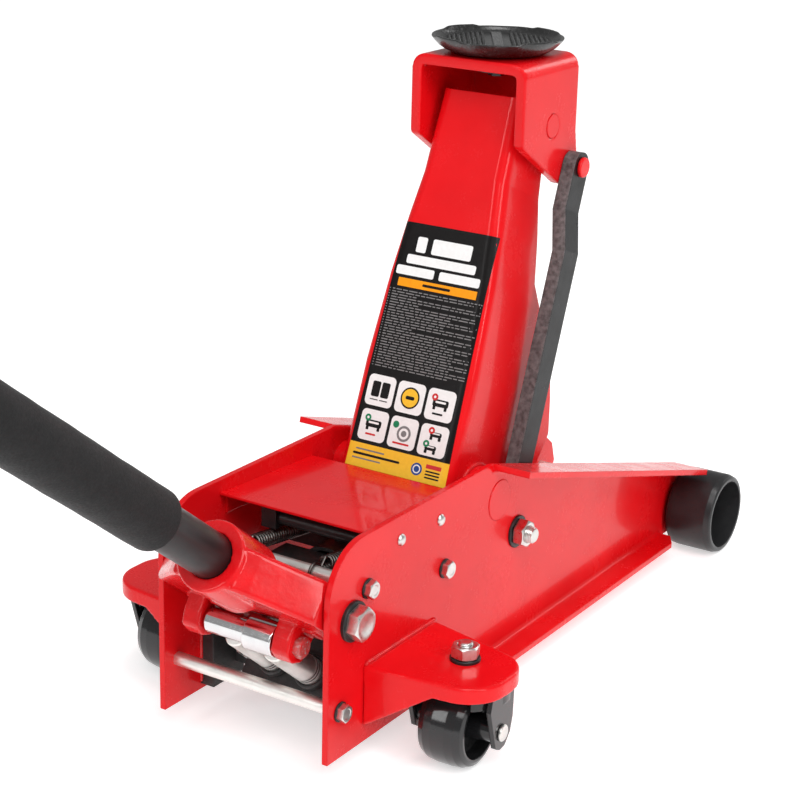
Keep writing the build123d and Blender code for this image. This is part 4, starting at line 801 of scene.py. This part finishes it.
def rrect(s, y, ls, ly, r, lift, mi, k=6):
    """A rounded rectangle centred on (s, y)."""
    pts = []
    for cs, cy, a0 in ((ls / 2 - r, ly / 2 - r, 0), (-(ls / 2 - r), ly / 2 - r, 90), (-(ls / 2 - r), -(ly / 2 - r), 180), (ls / 2 - r, -(ly / 2 - r), 270)):
        for q in range(k + 1):
            t = radians(a0 + 90 * q / k)
            pts.append((s + cs + r * cos(t), y + cy + r * sin(t)))
    patch(pts, lift, mi)


def disc(s, y, r, lift, mi, k=24, ry=None):
    patch([(s + r * cos(2 * pi * i / k), y + (ry or r) * sin(2 * pi * i / k)) for i in range(k)], lift, mi)


def poly(s, y, pts, lift, mi, sc=1.0):
    """pts are (right, up) in mm seen by a reader; right is towards -Y and up is along +s."""
    patch([(s + v * sc, y - u * sc) for u, v in pts], lift, mi)


def half(s):
    return 48.7 + (44.1 - 48.7) * s / 208.0


CY = -1.2
quad_strip(-0.4, 208.0, half(-0.4), half(208.0), CY, 0.20, BLACK)
quad_strip(-0.4, 19.5, half(-0.4), half(19.5), CY, 0.30, YELLOW)


def bar(s, y0, y1, h, lift, mi):
    """A horizontal rounded bar from y0 (reader's left, +Y) to y1."""
    rrect(s, (y0 + y1) / 2, h, abs(y1 - y0), min(h / 2 - 0.01, 1.6), lift, mi, k=4)


# heading zone: plain blocks in three rows, no words
bar(190.5, 27.0, 17.5, 13.0, 0.30, WHITE)
bar(190.5, 12.0, -26.0, 13.0, 0.30, WHITE)
bar(177.6, 33.5, -33.0, 7.6, 0.30, WHITE)
bar(167.6, 41.0, 4.5, 7.6, 0.30, WHITE)
bar(167.6, -0.5, -31.0 - 8.5, 7.6, 0.30, WHITE)
# orange stripe with a dark bar
rrect(157.6, CY, 7.0, 76.0, 0.4, 0.45, ORANGE)
bar(157.6, 13.0, -14.0, 2.2, 0.55, BLACK)
# small grey rules in place of small print
rows = 30
for i in range(rows):
    s = 151.0 - i * (151.0 - 85.5) / (rows - 1)
    y = 42.0
    bar(s, y + 1.6, y + 0.2, 0.75, 0.28, GREY)
    end = -44.0 if i % 3 != 2 else random.uniform(-30, 20)
    y -= 1.6
    while y > end:
        w = random.uniform(2.2, 9.0)
        bar(s, y, max(y - w, end - 2), 0.85, 0.28, GREY)
        y -= w + 1.1


TS = 26.0
tiles = [(65.0, 29.3), (64.6, 0.0), (64.3, -29.3), (35.6, 28.6), (35.2, -0.8), (34.8, -30.2)]
for s, y in tiles:
    rrect(s, y, TS, TS * 1.02, 4.2, 0.30, WHITE)


def blocks(s, y, dot, wide=15.0, high=6.0):
    """A plain dark block with a light slot, two feet and a small coloured dot."""
    rrect(s, y, high, wide, 1.6, 0.42, BLACK)
    rrect(s + 0.8, y, high * 0.28, wide * 0.66, 0.6, 0.46, WHITE)
    for d in (-1, 1):
        rrect(s - high * 0.5 - 1.2, y + d * wide * 0.36, 3.0, 2.6, 0.6, 0.42, BLACK)
    disc(s + high * 0.75, y + wide * 0.42, 2.9, 0.50, dot)
    disc(s + high * 0.75, y + wide * 0.42, 1.1, 0.54, WHITE)


s, y = tiles[0]
for d in (-1, 1):
    rrect(s + 1.0, y + d * 4.6, 13.0, 7.8, 1.4, 0.42, BLACK)
    rrect(s - 8.0, y + d * 4.6, 0.8, 7.8, 0.3, 0.42, BLACK)
s, y = tiles[1]
disc(s, y, 9.0, 0.42, BLACK, 36)
disc(s, y, 7.6, 0.46, YELLOW, 36)
rrect(s, y, 3.0, 8.4, 1.2, 0.50, BLACK)
s, y = tiles[2]
blocks(s + 1.5, y, REDI)
bar(s - 7.5, y + 6, y - 4, 1.6, 0.42, BLACK)
s, y = tiles[3]
blocks(s + 1.5, y, GREEN)
bar(s - 7.5, y + 6, y - 4, 1.6, 0.42, REDI)
s, y = tiles[4]
disc(s - 0.5, y - 1.0, 6.6, 0.42, GREY, 32)
disc(s - 0.5, y - 1.0, 4.6, 0.46, WHITE, 32)
disc(s - 0.5, y - 1.0, 2.6, 0.50, GREY, 32)
disc(s + 6.0, y + 8.0, 2.9, 0.50, GREEN)
bar(s - 9.0, y + 8, y - 8, 1.6, 0.42, REDI)
s, y = tiles[5]
blocks(s + 5.2, y - 1.5, REDI, 11.0, 4.0)
blocks(s - 6.2, y + 1.0, GREEN, 11.0, 4.0)
# yellow band: grey rules, a small round mark and a small block
for q, (a, e) in enumerate(((40, 12), (42, -4), (42, 14))):
    bar(14.6 - q * 3.9, a, e, (1.3, 2.0, 1.2)[q], 0.38, GREY if q != 1 else BLACK)
disc(9.4, -21.0, 5.2, 0.38, BLUE, 30)
disc(9.4, -21.0, 3.6, 0.42, WHITE, 30)
disc(9.4, -21.0, 2.6, 0.46, BLUE, 30)
rrect(13.6, -36.5, 3.4, 14.5, 0.4, 0.38, REDI)
for q in range(3):
    bar(9.6 - q * 2.6, -29.6, -43.4, 1.3, 0.38, BLACK)
decal_ob = decal.done("arm_decal", LAB_MATS, "arm", "red_paint", 30)

# ------------------------------------------------------------------ bands on the plungers by the pump block
PUMPV = Vector((cos(radians(40)), 0, -sin(radians(40))))
for tag, y, r in (("right", -22.5, 11.0), ("left", 13.0, 9.5)):
    b = Build()
    c = P(63.0, y, 53.6)
    for i, mi in ((0, 1), (1, 0), (2, 1), (3, 0), (4, 1)):
        h0 = -9.6 - i * 1.7
        b.lathe(c, PUMPV, [((r - 0.2) * MM, (h0 - 1.5) * MM), ((r + 0.12) * MM, (h0 - 1.5) * MM), ((r + 0.12) * MM, h0 * MM), ((r - 0.2) * MM, h0 * MM)], n=64, closed=True, mi=mi)
    ob = b.done("plunger_bands_%s" % tag, [seal_black, seal_white], "plunger_" + tag, "black_rubber", 30)
    b = Build()
    b.lathe(c, PUMPV, [((r + 0.35) * MM, -0.5 * MM), ((r + 0.35) * MM, -6.0 * MM), ((r + 1.0) * MM, -7.0 * MM), ((r + 2.2) * MM, -7.0 * MM), ((r + 3.0) * MM, -6.0 * MM),
                       ((r + 3.0) * MM, -0.5 * MM)], n=64, closed=True)
    ob = b.done("plunger_wiper_%s" % tag, cast_black, "chassis", "zinc_steel", 30)
    if tag == "left":
        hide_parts("plunger_wipers")

# ------------------------------------------------------------------ welds
HW = 54.3


def arm_pt(s, n, y):
    return AP + AE * (s * MM) + AN * (n * MM) + Vector((0, y * MM, 0))


for d, sd in ((-1, 3), (1, 4)):
    tag = "right" if d < 0 else "left"
    y = d * 80.4
    weld("bracket_weld_%s" % tag, [P(48, y, 83.9), P(98, y, 84.0), P(148, y, 83.9)], 2.4 * MM, "chassis", seed=sd)
    weld("bracket_under_weld_%s" % tag, [P(50, y, 79.3), P(98, y, 79.3), P(146, y, 79.3)], 2.2 * MM, "chassis", seed=sd + 5)
    # round the arm's pivot tube, outside
    ring = [P(244 + 24.6 * cos(radians(q)), d * 54.9, 155 + 24.6 * sin(radians(q))) for q in range(0, 361, 6)]
    weld("pivot_tube_weld_%s" % tag, ring, 2.3 * MM, "arm", seed=sd + 9)
    # unit lug to the plate
    weld("unit_lug_weld_%s" % tag, [P(151.5, -y + d * 6.6, 133.2), P(168.3, -y + d * 6.6, 133.2)], 2.2 * MM, "chassis", seed=sd + 13)
    weld("stay_strip_weld_%s" % tag, [P(44.8, d * 74.4, 26), P(44.8, d * 74.4, 98)], 1.8 * MM, "chassis", seed=sd + 17)

# head bracket: beads inside, between its top and the pivot tube's cheeks
for d in (-1, 1):
    tag = "right" if d < 0 else "left"
    weld("head_bead_%s" % tag, [P(306, d * 44.6, 491.0), P(390, d * 44.6, 491.0)], 2.3 * MM, "head", seed=30 + d)

# ------------------------------------------------------------------ stage
me = bpy.data.meshes.new("floor")
S = 6.0
me.from_pydata([(-S, -S, 0), (S, -S, 0), (S, S, 0), (-S, S, 0)], [], [(0, 1, 2, 3)])
floor = bpy.data.objects.new("floor", me)
bpy.context.scene.collection.objects.link(floor)
fm, fnt, fb = new_mat("pale_floor")
fv = coords(fnt)
fnt.links.new(mix(fnt, ramp(fnt, noise(fnt, fv, 3.0), 0.3, 0.7), (0.84, 0.84, 0.84), (0.80, 0.80, 0.80)), fb.inputs["Base Color"])
fb.inputs["Roughness"].default_value = 0.75
fb.inputs["Specular IOR Level"].default_value = 0.1
fb.inputs["Emission Color"].default_value = (1, 1, 1, 1)
fb.inputs["Emission Strength"].default_value = 0.55
me.materials.append(fm)

world = bpy.data.worlds.new("studio")
bpy.context.scene.world = world
world.use_nodes = True
bg = world.node_tree.nodes["Background"]
bg.inputs["Color"].default_value = (1.0, 1.0, 1.0, 1)
bg.inputs["Strength"].default_value = 0.34


def area(name, loc, target, size, power, color=(1, 1, 1), size_y=None):
    ld = bpy.data.lights.new(name, "AREA")
    ld.energy = power
    ld.color = color
    ld.shape = "RECTANGLE"
    ld.size = size
    ld.size_y = size_y or size
    lo = bpy.data.objects.new(name, ld)
    bpy.context.scene.collection.objects.link(lo)
    lo.location = loc
    d = Vector(target) - Vector(loc)
    lo.rotation_euler = d.to_track_quat("-Z", "Y").to_euler()
    return lo


T = (0.35, 0.0, 0.2)
sd = bpy.data.lights.new("studio_even", "SUN")
sd.energy = 1.15
sd.angle = radians(35)
so = bpy.data.objects.new("studio_even", sd)
bpy.context.scene.collection.objects.link(so)
so.rotation_euler = Vector((0.50, 0.42, -0.76)).to_track_quat("-Z", "Y").to_euler()
area("key_strip", (-0.3, -2.0, 1.5), T, 0.4, 15, size_y=1.5)
area("top_softbox", (0.2, -0.2, 2.6), T, 0.8, 14)
area("left_strip", (-1.9, 0.9, 1.3), T, 0.35, 10, size_y=1.5)
area("rear_strip", (2.2, -0.6, 1.1), T, 0.35, 8, size_y=1.5)
